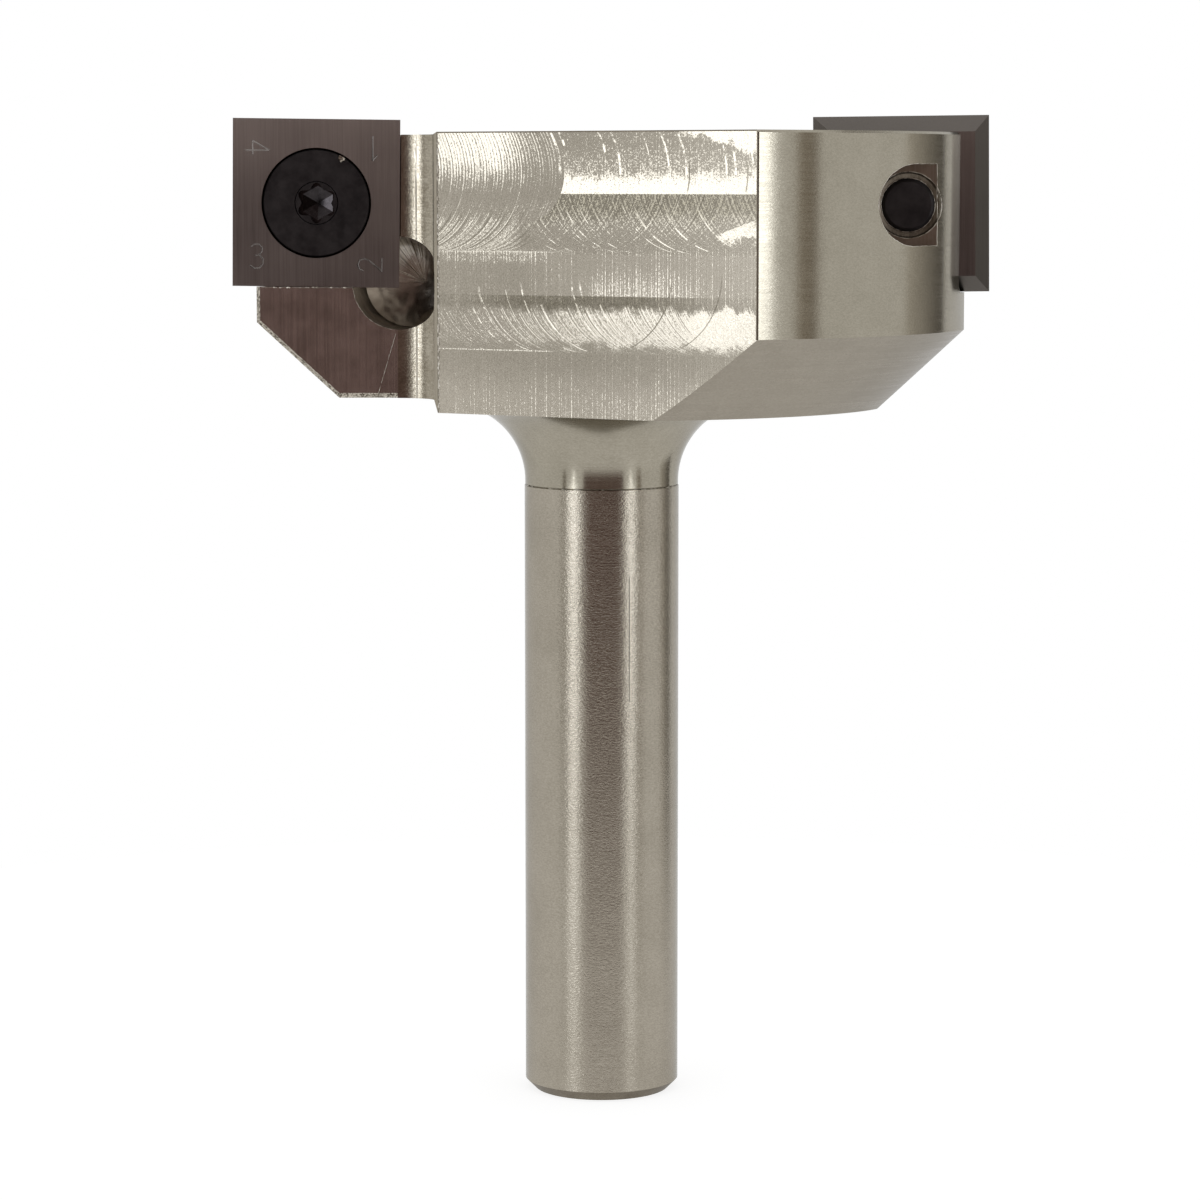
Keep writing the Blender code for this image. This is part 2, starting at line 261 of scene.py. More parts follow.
def card(name, start, end, distance, low, high, near_tone, far_tone):
    """A card whose tone runs evenly from its edge with the lower bearing to its other edge."""
    width = wide(start, end, distance)
    cloth = bpy.data.materials.new(name)
    tree = emptied(cloth)
    across = add(tree, "SeparateXYZ", (add(tree, "TexCoord").outputs["Object"],))
    share = add(tree, "MapRange", {"Value": across, "From Min": -width / 2, "From Max": width / 2})
    tone = add(tree, "Mix", {0: share, 6: colour(near_tone), 7: colour(far_tone)}, data_type="RGBA")
    dim = add(tree, "Emission", {"Color": tone.outputs[2], "Strength": 1.0})
    add(tree, "OutputMaterial", (dim,))
    shape = bmesh.new()
    size = Matrix.Diagonal((width, high - low, 1, 1))
    bmesh.ops.create_grid(shape, x_segments=1, y_segments=1, size=0.5, matrix=size)
    board = piece(name, shape, cloth)
    board.matrix_world = facing_the_bit((start + end) / 2, distance, (low + high) / 2)
    board.visible_camera = False
    board.visible_diffuse = False
    board.visible_shadow = False
    board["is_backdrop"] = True


soft_lamp("left_lamp", -50, -35.5, 0.6, 0.03, 0.17, 4.6)
soft_lamp("left_lamp_foot", -44.4, -40.8, 0.6, -0.2, 0.03, 2.5)
soft_lamp("right_lamp", 38, 50, 0.3, 0.045, 0.12, 4.3)
soft_lamp("right_lamp_foot", 43, 46, 0.3, -0.11, 0.045, 2.1)
card("camera_side_card", -27.5, 33, 0.62, -0.3, 0.6, "#786560", "#786560")
card("left_pole", -60, -55, 0.3, -0.1, 0.4, "#8A8275", "#8A8275")
card("right_pole", 53.4, 60, 0.112, 0, 0.2, "#B4AA9D", "#8E8479")
card("right_card", 98, 121.5, 0.149, -0.05, 0.25, "#E4E0DA", "#463F37")
print(len(bpy.data.lights), "lamps and four cards")

# %% [markdown]
# ## Plated steel
#
# The shank and head are one piece of alloy steel with a thin satin nickel plating. Nickel is a
# slightly warm grey. All the faces share that colour and differ in how they were cut: the shank was
# ground round, the head was turned on a lathe, the gullets and flats were milled, and the reliefs
# drilled. Each of those leaves its own fine lines, which stretch a reflection across themselves. So
# each finish is its own material: one colour, its own roughness, bump and stretch.

# %% Shared colours and the start of a metal
NICKEL = "#9F988B"
NICKEL_DULL = "#857D70"
# Fine tool marks keep the surface from brightening much where it is seen at a glancing angle.
GLANCING = 0.74


def metal(name, dull, anisotropic=0.0):
    """A new metal: its material, its node tree, its shader and its place in millimetres."""
    made = bpy.data.materials.new(name)
    made.use_nodes = True
    tree = made.node_tree
    shader = tree.nodes["Principled BSDF"]
    shader.inputs["Metallic"].default_value = 1
    shader.inputs["Roughness"].default_value = dull
    shader.inputs["Anisotropic"].default_value = anisotropic
    shader.inputs["Specular Tint"].default_value = (GLANCING, GLANCING, GLANCING, 1)
    place = add(tree, "TexCoord").outputs["Object"]
    place = add(tree, "Mapping", {"Vector": place, "Scale": (1000, 1000, 1000)}).outputs[0]
    return made, tree, shader, place


def tint(tree, shader, value, low, high, tones):
    """Colours a metal by a map: the first tone where it is low, and the second where it is high."""
    share = add(tree, "MapRange", {"Value": value, "From Min": low, "From Max": high})
    mixed = add(tree, "Mix", {0: share, 6: colour(tones[0]), 7: colour(tones[1])}, data_type="RGBA")
    tree.links.new(mixed.outputs[2], shader.inputs["Base Color"])


def leaning(tree, way, amount):
    """The surface's own normal, leant one way by a map."""
    lean = add(tree, "VectorMath SCALE", {0: way, "Scale": amount})
    normal = add(tree, "NewGeometry").outputs["Normal"]
    normal = add(tree, "VectorMath ADD", (normal, lean))
    return add(tree, "VectorMath NORMALIZE", (normal,))


print("nickel is", NICKEL, "and its duller places are", NICKEL_DULL)

# %% Patterns
def area(tree, *edges):
    """Where several limits hold together. A limit is (value, from, to) with a soft edge between the
    two, and with its brightness at both where that isn't 0 and 1, or it is a map or a number."""
    product = 1.0
    for edge in edges:
        if isinstance(edge, tuple):
            value, low, high, *ends = edge
            start, end = ends or (0.0, 1.0)
            edge = add(tree, "MapRange", {"Value": value, "From Min": low, "From Max": high, "To Min": start,
                                          "To Max": end}, interpolation_type="SMOOTHSTEP")
        product = add(tree, "Math MULTIPLY", (product, edge))
    return product


def brightest(tree, *maps):
    """The brightest of several maps at each point."""
    result = maps[0]
    for other in maps[1:]:
        result = add(tree, "Math MAXIMUM", (result, other))
    return result

print("patterns are made of areas with soft edges")

# %% Ground shank and turned head
# Fine rings run round the shank, about 0.05 mm apart on the real one. Here they are drawn at 0.12 mm on
# the shank and 0.16 mm on the head, so that they show. A grain of short dashes between them makes the
# edges of a reflection ragged, and tints the steel a little.
RING_WANDER = 0.12
DASHES_PER_MM = (4.5, 4.5, 9.0)


def round_metal(name, dull, stretch, ring_size, ring_height, grain_height, patch, tones):
    """Steel with rings round the bit's axis. Sizes are in millimetres, and patches per millimetre."""
    made, tree, shader, place = metal(name, dull, stretch)
    around = add(tree, "VectorMath CROSS_PRODUCT", ((0, 0, 1), place))
    around = add(tree, "VectorMath NORMALIZE", (around,))
    tree.links.new(around.outputs[0], shader.inputs["Tangent"])
    shader.inputs["Anisotropic Rotation"].default_value = 0.25
    flattened = add(tree, "Mapping", {"Vector": place, "Scale": (RING_WANDER, RING_WANDER, 1 / ring_size)})
    rings = add(tree, "TexNoise", {"Vector": flattened, "Scale": 1.0, "Detail": 3.0, "Roughness": 0.7})
    dashes = add(tree, "Mapping", {"Vector": place, "Scale": DASHES_PER_MM})
    grain = add(tree, "TexNoise", {"Vector": dashes, "Scale": 1.0, "Detail": 2.0, "Roughness": 0.7})
    blotches = add(tree, "TexNoise", {"Vector": place, "Scale": patch, "Detail": 4.0, "Roughness": 0.6})
    tint(tree, shader, add(tree, "Math MULTIPLY_ADD", (blotches, 0.5, grain)), 0.55, 0.95, tones)
    rough = add(tree, "MapRange", {"Value": rings, "From Min": 0.3, "From Max": 0.7,
                                   "To Min": dull * 0.8, "To Max": dull * 1.25})
    tree.links.new(rough.outputs[0], shader.inputs["Roughness"])
    # A turned face points straight away from the axis. This irons out the mesh's own small facets.
    normal = add(tree, "NewGeometry").outputs["Normal"]
    slope = add(tree, "SeparateXYZ", (normal,)).outputs["Z"]
    level = add(tree, "Math MULTIPLY", (slope, slope))
    level = add(tree, "Math SUBTRACT", (1.0, level))
    level = add(tree, "Math MAXIMUM", (level, 0.0))
    level = add(tree, "Math SQRT", (level,))
    outward = add(tree, "VectorMath MULTIPLY", (place, (1, 1, 0)))
    outward = add(tree, "VectorMath NORMALIZE", (outward,))
    outward = add(tree, "VectorMath SCALE", {0: outward, "Scale": level})
    normal = add(tree, "VectorMath ADD", (outward, add(tree, "CombineXYZ", {2: slope})))
    for height, size in ((rings, ring_height), (grain, grain_height)):
        normal = add(tree, "Bump", {"Height": height, "Strength": 1.0, "Distance": size / 1000,
                                    "Normal": normal})
    tree.links.new(normal.outputs[0], shader.inputs["Normal"])
    return made, tree, shader, place


turned_steel, *_ = round_metal(
    "nickel plated steel, lathe turned", dull=0.19, stretch=0.75, ring_size=0.16, ring_height=0.0012,
    grain_height=0.003, patch=0.4, tones=("#A09A8C", "#928C7E"))
# The cone faces down and gets slightly darker tones than the rest of the turned head: painted shade.
shaded_cone_steel, *_ = round_metal(
    "nickel plated steel, lathe turned cone", dull=0.3, stretch=0.75, ring_size=0.16, ring_height=0.0007,
    grain_height=0.001, patch=0.4, tones=("#999286", "#8F887C"))
ground_steel, tree, shader, place = round_metal(
    "nickel plated steel, cylindrically ground", dull=0.19, stretch=0.92, ring_size=0.12,
    ring_height=0.0022, grain_height=0.023, patch=0.25, tones=("#A59E91", "#938C7F"))
print("made", ground_steel.name, "and", turned_steel.name)

# %% A scratch down the shank
# The collet left one straight dark scratch. Its place is given in millimetres.
SCRATCH_X = 2.25
SCRATCH_ENDS = (33.0, 43.5)
SCRATCH_DARKNESS = 0.75
low, high = SCRATCH_ENDS
at_x, at_y, at_z = add(tree, "SeparateXYZ", (place,)).outputs
aside = add(tree, "Math SUBTRACT", (at_x, SCRATCH_X))
aside = add(tree, "Math ABSOLUTE", (aside,))
scratch = area(tree, (aside, 0.05, 0.02), (at_y, 0.0, -1.0), (at_z, low, low + 0.3), (at_z, high, high - 0.3),
               SCRATCH_DARKNESS)
unscratched = shader.inputs["Base Color"].links[0].from_socket
scratched = add(tree, "Mix", {0: scratch, 6: unscratched, 7: colour("#4A443A")}, data_type="RGBA")
tree.links.new(scratched.outputs[2], shader.inputs["Base Color"])
print("scratch from", low, "to", high, "mm above the shank's end")

# %% Milled gullets and broken edges
# Milled steel shows fine lines and soft blotches. The tool's lines are nearer 0.05 mm apart than the
# 0.15 mm drawn here, so that they show. On the wall they lie level, eight to the millimetre. An edge
# that was broken by hand has a coarse speckle besides.
# How often the lines change along Z, per millimetre: seldom where they stand upright
UPRIGHT = 0.06
LEVEL = 8.0
# The wall's feed marks are tiny steps that all lean one way, so its bright stripe stands nearer the
# flat than the bare fillet would put it. The normal leans by as much, on both wings alike.
WALL_LEAN = 0.7


def milled_metal(name, dull, line_size, line_height, tones, grain_height=0.0, lines_run=UPRIGHT, speckle=0.0,
                 lean=0.0):
    """Steel with tool lines a given number of millimetres apart, and a grain between them."""
    made, tree, shader, place = metal(name, dull)
    flattened = add(tree, "Mapping", {"Vector": place, "Scale": (1 / line_size, 1 / line_size, lines_run)})
    lines = add(tree, "TexNoise", {"Vector": flattened, "Scale": 1.0, "Detail": 4.0, "Roughness": 0.7})
    grain = add(tree, "TexNoise", {"Vector": place, "Scale": 6.0, "Detail": 3.0, "Roughness": 0.7})
    blotches = add(tree, "TexNoise", {"Vector": place, "Scale": 0.5, "Detail": 5.0, "Roughness": 0.65})
    tone = add(tree, "Math ADD", (blotches, lines))
    specks = add(tree, "Math SUBTRACT", (grain, 0.5))
    tone = add(tree, "Math MULTIPLY_ADD", (specks, speckle, tone))
    tint(tree, shader, tone, 0.75, 1.25, tones)
    low_bump = {"Height": lines, "Strength": 1.0, "Distance": line_height / 1000}
    if lean:
        wing = add(tree, "Math SIGN", (add(tree, "SeparateXYZ", (place,)),))
        low_bump["Normal"] = leaning(tree, (0, 1, 0), add(tree, "Math MULTIPLY", (wing, lean)))
    bump = add(tree, "Bump", {"Height": grain, "Strength": 1.0, "Distance": grain_height / 1000,
                              "Normal": add(tree, "Bump", low_bump)})
    tree.links.new(bump.outputs[0], shader.inputs["Normal"])
    return made


gullet_steel = milled_metal("nickel plated steel, milled gullet", 0.24, 0.15, 0.004, ("#BDB2AC", "#9A8F88"),
                            0.001)
wall_steel = milled_metal("nickel plated steel, milled gullet wall", 0.15, 0.8, 0.004, ("#A59E90", "#827A6B"),
                          0.011, LEVEL, 1.0, WALL_LEAN)
pocket_steel = milled_metal("nickel plated steel, milled pocket", 0.3, 0.2, 0.003, (NICKEL, NICKEL_DULL),
                            0.002)
edge_steel = milled_metal("nickel plated steel, broken edge", 0.3, 0.15, 0.004, ("#BDB6A9", "#4C4439"), 0.03,
                          speckle=4.0)
# Its darker tones are painted shade, on the shank's end chamfer and on the flat's filed edges.
shaded_edge_steel = milled_metal("nickel plated steel, filed edge", 0.4, 0.15, 0.004, (NICKEL_DULL, "#6A6255"))
# Its pale tones are a painted glint on the burrs.
glinting_burr_steel = milled_metal("nickel plated steel, burr", 0.3, 0.15, 0.004, ("#D8D3C8", "#B5AEA1"), 0.004)
# The tapped hole and its thread start are drawn much darker than the plating: painted shade inside the hole.
shaded_hole_steel = milled_metal("nickel plated steel, tapped hole", 0.35, 0.15, 0.004, ("#766D61", "#4C453C"), 0.01)
print("the gullet wall's steps lean by", round(math.degrees(math.atan(WALL_LEAN)), 1), "degrees")

# %% [markdown]
# ### The milled flats
#
# A half-inch end mill went along each flat in three overlapping passes. Its teeth left arcs as wide as the
# tool: some are fine and even, some deep and single. Where the arcs lean the right way they
# throw a lamp's light to the eye and the steel looks white, and beside that it stays grey. The
# pattern is worked out in millimetres along the flat and up it. The arcs are level lines of a
# distance from the tool's path, and a map of where each pass shines tilts the surface towards the lamp.

# %% Where a point lies on a flat
FLAT_YAW = math.radians(30.6)
ALONG_FLAT = Vector((math.cos(FLAT_YAW), -math.sin(FLAT_YAW), 0))
FLAT_NORMAL = Vector((-math.sin(FLAT_YAW), -math.cos(FLAT_YAW), 0))
# The head's underside is the flat's lower edge, in metres. The flat starts so many millimetres to the
# left of the bit's axis.
UNDERSIDE = 0.05715
FLAT_START = 4.43

flat_steel, tree, shader, place = metal("nickel plated steel, end milled flat", 0.235)
side = add(tree, "VectorMath DOT_PRODUCT", (place, FLAT_NORMAL)).outputs["Value"]
side = add(tree, "Math SIGN", (side,))
run = add(tree, "VectorMath DOT_PRODUCT", (place, ALONG_FLAT)).outputs["Value"]
u = add(tree, "Math MULTIPLY_ADD", (run, side, FLAT_START))
above_table = add(tree, "SeparateXYZ", (place,)).outputs["Z"]
v = add(tree, "Math SUBTRACT", (above_table, 1000 * UNDERSIDE))
blotch = add(tree, "TexNoise", {"Vector": place, "Scale": 0.9, "Detail": 6.0, "Roughness": 0.7})
blotch = add(tree, "Math SUBTRACT", (blotch, 0.5))
speck = add(tree, "TexNoise", {"Vector": place, "Scale": 8.0, "Detail": 2.0, "Roughness": 0.6})
speck = add(tree, "Math SUBTRACT", (speck, 0.5))
rough_v = add(tree, "Math MULTIPLY_ADD", (blotch, 2.6, v))
print("flat coordinates ready")

# %% The tool's arcs
TOOL_RADIUS = 6.1
UPPER_PASS = 18.8
LOWER_PASS = 11.1
BLOCK_RADIUS = 3.95
BLOCK_CENTRE = 7.7


def bulge(tree, radius, pass_height):
    """How far an arc of the tool stands out beside its centre, at each height of the flat."""
    rise = add(tree, "Math SUBTRACT", (v, pass_height))
    rise = add(tree, "Math MULTIPLY", (rise, rise))
    inside = add(tree, "Math SUBTRACT", (radius**2, rise))
    inside = add(tree, "Math MAXIMUM", (inside, 0.0))
    return add(tree, "Math SQRT", (inside,))


upper_bow = bulge(tree, TOOL_RADIUS, UPPER_PASS)
lower_bow = bulge(tree, TOOL_RADIUS, LOWER_PASS)
upper_right = add(tree, "Math SUBTRACT", (u, upper_bow))
upper_left = add(tree, "Math ADD", (u, upper_bow))
lower_right = add(tree, "Math SUBTRACT", (u, lower_bow))
lower_left = add(tree, "Math ADD", (u, lower_bow))
block_edge = add(tree, "Math SUBTRACT", (u, bulge(tree, BLOCK_RADIUS, UPPER_PASS)))
print("arcs of", TOOL_RADIUS, "mm radius at", UPPER_PASS, "and", LOWER_PASS, "mm up the flat")

# %% Where each pass shines
# The shine is 0 where a pass throws no lamp light to the camera's side and 1 where it throws all.
in_block = area(tree, (block_edge, BLOCK_CENTRE + 0.05, BLOCK_CENTRE))
past_block = area(tree, (block_edge, BLOCK_CENTRE, BLOCK_CENTRE + 0.05))
corner_line = add(tree, "Math MULTIPLY_ADD", (u, 0.237, rough_v))
wedge_line = add(tree, "Math MULTIPLY_ADD", (u, -0.36, v))
low_end = brightest(tree, area(tree, (u, -2.0, 22.0, 0.30, 0.68)), area(tree, (u, 18.0, 25.0, 0.0, 1.1)))
block = area(tree, in_block, (rough_v, 16.0, 20.6, 0.05, 0.86), (u, 9.5, 5.0, 0.42, 1.0))
band = area(tree, past_block, (rough_v, 20.4, 17.5), (v, 17.15, 17.22), 0.9)
above_band = area(tree, past_block, (v, 18.8, 19.2), (rough_v, 21.4, 18.8, 0.20, 0.40))
corner = area(tree, past_block, (corner_line, 26.5, 27.7, 0.0, 1.1), (v, 19.3, 19.9))
wedge = area(tree, (u, 24.8, 25.6), (wedge_line, 5.2, 5.0), (rough_v, 13.5, 14.0))
below_band = area(tree, past_block, (v, 17.22, 17.15), (rough_v, 13.2, 15.4), 0.40)
ticked = area(tree, (v, 11.3, 12.3), (v, 12.72, 12.64), (u, 12.0, 8.0), 0.42)
plain = area(tree, (u, 12.0, 15.0), (v, 12.6, 11.0), (v, 9.38, 9.44), (v, 11.5, 9.5, 0.20, 0.42),
             (u, 26.0, 20.0, 0.3, 1.0))
low = area(tree, (rough_v, 8.9, 7.9), (rough_v, 4.9, 6.2), low_end)
crossed = area(tree, (u, 9.0, 6.0), (rough_v, 16.0, 14.8), (v, 12.7, 12.8), 0.52)
foot = area(tree, (rough_v, 4.8, 0.2, 0.08, 0.30))
shine = brightest(tree, block, band, above_band, corner, wedge, below_band, ticked, plain, low, crossed, foot)
print("shine mapped in eleven areas")

# %% Fine lines
# The finest lines are 0.2 mm apart. The tool's real feed marks are nearer 0.05 mm, too fine to show.
fine_kinds = {}
for kind, value, per_mm in (("upright", u, 8.0), ("upper", upper_right, 8.0), ("lower", lower_left, 7.0),
                            ("one_way", upper_left, 5.0), ("other_way", upper_right, 5.0)):
    fine_kinds[kind] = add(tree, "TexNoise", {"W": value, "Scale": per_mm, "Detail": 2.0, "Roughness": 0.6},
                           noise_dimensions="1D")
crossing = add(tree, "Math ADD", (fine_kinds["one_way"], fine_kinds["other_way"]))
crossing = add(tree, "Math MULTIPLY", (crossing, 0.5))
on_low = area(tree, (v, 9.0, 8.6), (v, 5.0, 5.1))
on_top = area(tree, (v, 12.7, 12.72), (u, 13.0, 12.0))
on_crossing = area(tree, (v, 17.2, 17.1), (v, 12.7, 13.5), past_block)
fine = fine_kinds["upright"]
for where, lines in ((on_top, fine_kinds["upper"]), (on_low, fine_kinds["lower"]), (on_crossing, crossing)):
    fine = add(tree, "Mix", {0: where, 2: fine, 3: lines}, data_type="FLOAT")
fine = add(tree, "Math SUBTRACT", (fine, 0.5))
calm = brightest(tree, area(tree, past_block, (v, 17.2, 17.3), 0.75),
                 area(tree, in_block, (v, 16.0, 17.0), 0.45),
                 area(tree, (v, 12.6, 12.5), (v, 9.4, 9.5), 0.3),
                 area(tree, (v, 9.0, 8.6), (v, 5.05, 5.1), 0.25),
                 area(tree, (v, 5.1, 5.0), 0.4))
kept = add(tree, "Math SUBTRACT", (1.0, calm))
mottled = brightest(tree, kept, area(tree, past_block, (v, 17.2, 17.3), 0.85),
                    area(tree, (v, 5.1, 5.0), 0.6))
fine = add(tree, "Math MULTIPLY", (fine, kept))

# The last pass left even feed marks in the block, 0.28 mm apart.
FEED = 0.28
wavering = add(tree, "Math MULTIPLY_ADD", (blotch, 0.3, upper_right))
wavering = add(tree, "Math MULTIPLY", (wavering, 2 * math.pi / FEED))
feed_marks = add(tree, "Math SINE", (wavering,))
feed_marks = area(tree, feed_marks, in_block, (v, 15.5, 18.5, 0.2, 1.0), (u, 11.4, 8.4, 0.2, 1.0), 0.2)
print("fine lines and feed marks every", FEED, "mm")

# %% Single deep arcs
broken = area(tree, (blotch, -0.06, 0.04))
bright_marks = 0.0
for family, per_mm, rarest, top, bottom, start, end in (
    (upper_right, 2.6, 0.70, 23.0, 18.6, 9.0, 40.0),
    (upper_left, 3.1, 0.735, 17.2, 12.7, 9.5, 27.0),
    (lower_left, 2.8, 0.70, 11.0, 5.05, 2.5, 17.0),
):
    lines = add(tree, "TexNoise", {"W": family, "Scale": per_mm, "Detail": 0.0}, noise_dimensions="1D")
    lines = area(tree, (lines, rarest, rarest + 0.06), broken, (v, bottom, bottom + 0.1), (v, top, top - 1.5),
                 (u, start, start + 1), (u, end, end - 2))
    bright_marks = brightest(tree, bright_marks, area(tree, lines, 0.85))
for seam in (12.72, 5.09):
    line = area(tree, (v, seam - 0.07, seam - 0.02), (v, seam + 0.07, seam + 0.02), (u, 12.0, 9.0),
                (fine_kinds["upright"], 0.40, 0.55))
    bright_marks = brightest(tree, bright_marks, line)

hatch = add(tree, "TexNoise", {"W": upper_right, "Scale": 3.0, "Detail": 0.0}, noise_dimensions="1D")
dark_arcs = area(tree, (hatch, 0.46, 0.38), (u, 9.5, 7.5), (v, 16.0, 15.0), (v, 12.7, 12.8), 0.45)
for family, centre, top, bottom in (
    (lower_right, 15.1, 11.0, 5.3),
    (lower_right, 19.4, 11.4, 5.3),
    (upper_right, 16.6, 20.0, 17.1),
    (upper_right, 21.6, 20.0, 17.1),
):
    beside = add(tree, "Math SUBTRACT", (family, centre))
    beside = add(tree, "Math ABSOLUTE", (beside,))
    line = area(tree, (beside, 0.09, 0.03), (v, top, top - 1), (v, bottom, bottom + 0.5), 0.65)
    dark_arcs = brightest(tree, dark_arcs, line)
print("bright and dark single arcs drawn")

# %% The flat's tilt
# Lines and specks decide point by point whether a half-shining area looks lit, as scratches do.
FULL_TILT = 0.155
FINE_TILT = 0.05
lit = add(tree, "Math MULTIPLY_ADD", (fine, 2.2, shine))
specks = add(tree, "Math MULTIPLY", (speck, mottled))
lit = add(tree, "Math MULTIPLY_ADD", (specks, 2.8, lit))
lit = add(tree, "Math ADD", (lit, feed_marks))
lit = brightest(tree, area(tree, (lit, 0.22, 0.95)), bright_marks)
unmarked = add(tree, "Math SUBTRACT", (1.0, dark_arcs))
lit = add(tree, "Math MULTIPLY", (lit, unmarked))
tilt = add(tree, "Math MULTIPLY", (lit, FULL_TILT))
tilt = add(tree, "Math MULTIPLY_ADD", (fine, FINE_TILT, tilt))
tilt = add(tree, "Math MULTIPLY", (tilt, side))
bump = add(tree, "Bump", {"Height": fine, "Strength": 1.0, "Distance": 0.000002,
                          "Normal": leaning(tree, ALONG_FLAT, tilt)})
tree.links.new(bump.outputs[0], shader.inputs["Normal"])
print("a lit place leans by", round(math.degrees(math.atan(FULL_TILT)), 1), "degrees")

# %% The flat's tone
# Some places are drawn duller and browner, and the flat's foot paler.
streak = area(tree, (v, 9.42, 9.34), (rough_v, 8.0, 8.8), (u, 1.0, 9.0, 0.3, 0.9), (u, 27.0, 17.0), 0.75)
olive = area(tree, past_block, (v, 17.22, 17.15), (rough_v, 14.0, 16.4), 0.72)
dull = brightest(tree, streak, olive, area(tree, dark_arcs, 0.9))
dull = add(tree, "Math MULTIPLY_ADD", (fine, 0.7, dull))
dull = add(tree, "Math MULTIPLY_ADD", (specks, 2.4, dull))
pale = brightest(tree, area(tree, (rough_v, 4.6, 1.0)),
                 area(tree, (v, 12.7, 12.5), (v, 9.4, 9.5), (u, 7.0, 12.0), 0.65))
dull = add(tree, "Math MULTIPLY_ADD", (pale, -0.4, dull))
tint(tree, shader, dull, -0.5, 1.0, ("#B8B1A4", "#6E685A"))
print("made", flat_steel.name, "with", len(tree.nodes), "nodes")

# %% [markdown]
# ### The drilled reliefs
#
# A drill leaves ridges in its conical bottom that run to the point like the ribs of a fan. They are
# drawn as stripes across the angle round the drill's axis, as a bump. In one sector of the angle they
# also brighten the colour, as a painted fan highlight. The same pattern serves both wings,
# because the second relief lies half a turn round from the first.

# %% Drilled steel
# The drill's axis stands at this (x, z) in the first wing, in millimetres.
RELIEF_MIDDLE = (-15.2, 66.6)
drilled_steel, tree, shader, place = metal("nickel plated steel, drilled", 0.3)
at_x, _, at_z = add(tree, "SeparateXYZ", (place,)).outputs
wing = add(tree, "Math SIGN", (at_x,))
across = add(tree, "Math MULTIPLY", (at_x, wing))
across = add(tree, "Math SUBTRACT", (across, -RELIEF_MIDDLE[0]))
above = add(tree, "Math SUBTRACT", (at_z, RELIEF_MIDDLE[1]))
angle = add(tree, "Math ARCTAN2", (above, across))
ribs = add(tree, "TexNoise", {"W": angle, "Scale": 4.5, "Detail": 3.0, "Roughness": 0.6},
           noise_dimensions="1D")
# The ribs in this sector also make the colour pale: a painted fan highlight.
ribs_and_fan_highlight = area(tree, ribs, (angle, -0.5, 0.3), (angle, 1.9, 1.2))
swirl = add(tree, "TexNoise", {"Vector": place, "Scale": 0.35, "Detail": 2.0, "Roughness": 0.5})
tone = add(tree, "Math MULTIPLY_ADD", (ribs_and_fan_highlight, 1.3, swirl))
tint(tree, shader, tone, 0.35, 1.3, ("#847A6F", "#EAE4DA"))
bump = add(tree, "Bump", {"Height": swirl, "Strength": 1.0, "Distance": 0.0003})
bump = add(tree, "Bump", {"Height": ribs_and_fan_highlight, "Strength": 1.0, "Distance": 0.00012, "Normal": bump})
tree.links.new(bump.outputs[0], shader.inputs["Normal"])
print("made", drilled_steel.name)

# %% [markdown]
# ## The steel body
#
# The real body is turned from bar, then milled. It is made the same way here: a half profile is
# spun round the axis, and then cutters take out the gullets, pockets, reliefs, recesses and screw
# holes. A Boolean modifier carries each cutter's material onto the faces that it cuts, so that each
# face keeps the finish of the tool that made it.

# %% Helpers for solids
def arc(centre, radius, start, end, steps):
    """Points from one angle to another round a centre, both ends included."""
    angles = [start + (end - start) * i / steps for i in range(steps + 1)]
    return [Vector((centre[0] + radius * math.cos(a), centre[1] + radius * math.sin(a))) for a in angles]


def along_y(shape):
    """Turns a shape that was made along Z, so that it lies along Y."""
    bmesh.ops.rotate(shape, verts=shape.verts, matrix=Matrix.Rotation(-math.pi / 2, 3, "X"))


def turned(section, steps, axis="Z", closed=False):
    """A solid spun from (radius, height) points, which start and end on the axis or form a closed ring."""
    shape = bmesh.new()
    points = [shape.verts.new((radius, 0, height)) for radius, height in section]
    ends = points[1:] + points[:1] if closed else points[1:]
    edges = [shape.edges.new(pair) for pair in zip(points, ends)]
    bmesh.ops.spin(shape, geom=points + edges, cent=(0, 0, 0), axis=(0, 0, 1), angle=2 * math.pi,
                   steps=steps, use_merge=True)
    bmesh.ops.remove_doubles(shape, verts=shape.verts, dist=1e-7)
    if axis == "Y":
        along_y(shape)
    bmesh.ops.recalc_face_normals(shape, faces=shape.faces)
    return shape


def extruded(outline, way):
    """A solid pulled one way from a face with this outline."""
    shape = bmesh.new()
    base = shape.faces.new([shape.verts.new(point) for point in outline])
    sides = bmesh.ops.extrude_face_region(shape, geom=[base])
    moved = [item for item in sides["geom"] if isinstance(item, bmesh.types.BMVert)]
    bmesh.ops.translate(shape, verts=moved, vec=way)
    bmesh.ops.recalc_face_normals(shape, faces=shape.faces)
    return shape


def prism(outline, low, high):
    """A solid with a level outline of (x, y) points, from one height to another."""
    return extruded([(point[0], point[1], low) for point in outline], (0, 0, high - low))


def cut(target, cutter):
    """Takes a cutter's shape away from an object, once keep_result is called."""
    taken = target.modifiers.new(cutter.name, "BOOLEAN")
    taken.operation = "DIFFERENCE"
    taken.solver = "EXACT"
    taken.material_mode = "TRANSFER"
    taken.object = cutter


def keep_result(target):
    """Applies an object's modifiers and removes the cutters that they used."""
    bpy.context.view_layer.update()
    cutters = [modifier.object for modifier in target.modifiers if modifier.type == "BOOLEAN"]
    result = bpy.data.meshes.new_from_object(target.evaluated_get(bpy.context.evaluated_depsgraph_get()))
    target.modifiers.clear()
    target.data = result
    for cutter in cutters:
        bpy.data.objects.remove(cutter)

print("helpers for solids ready")

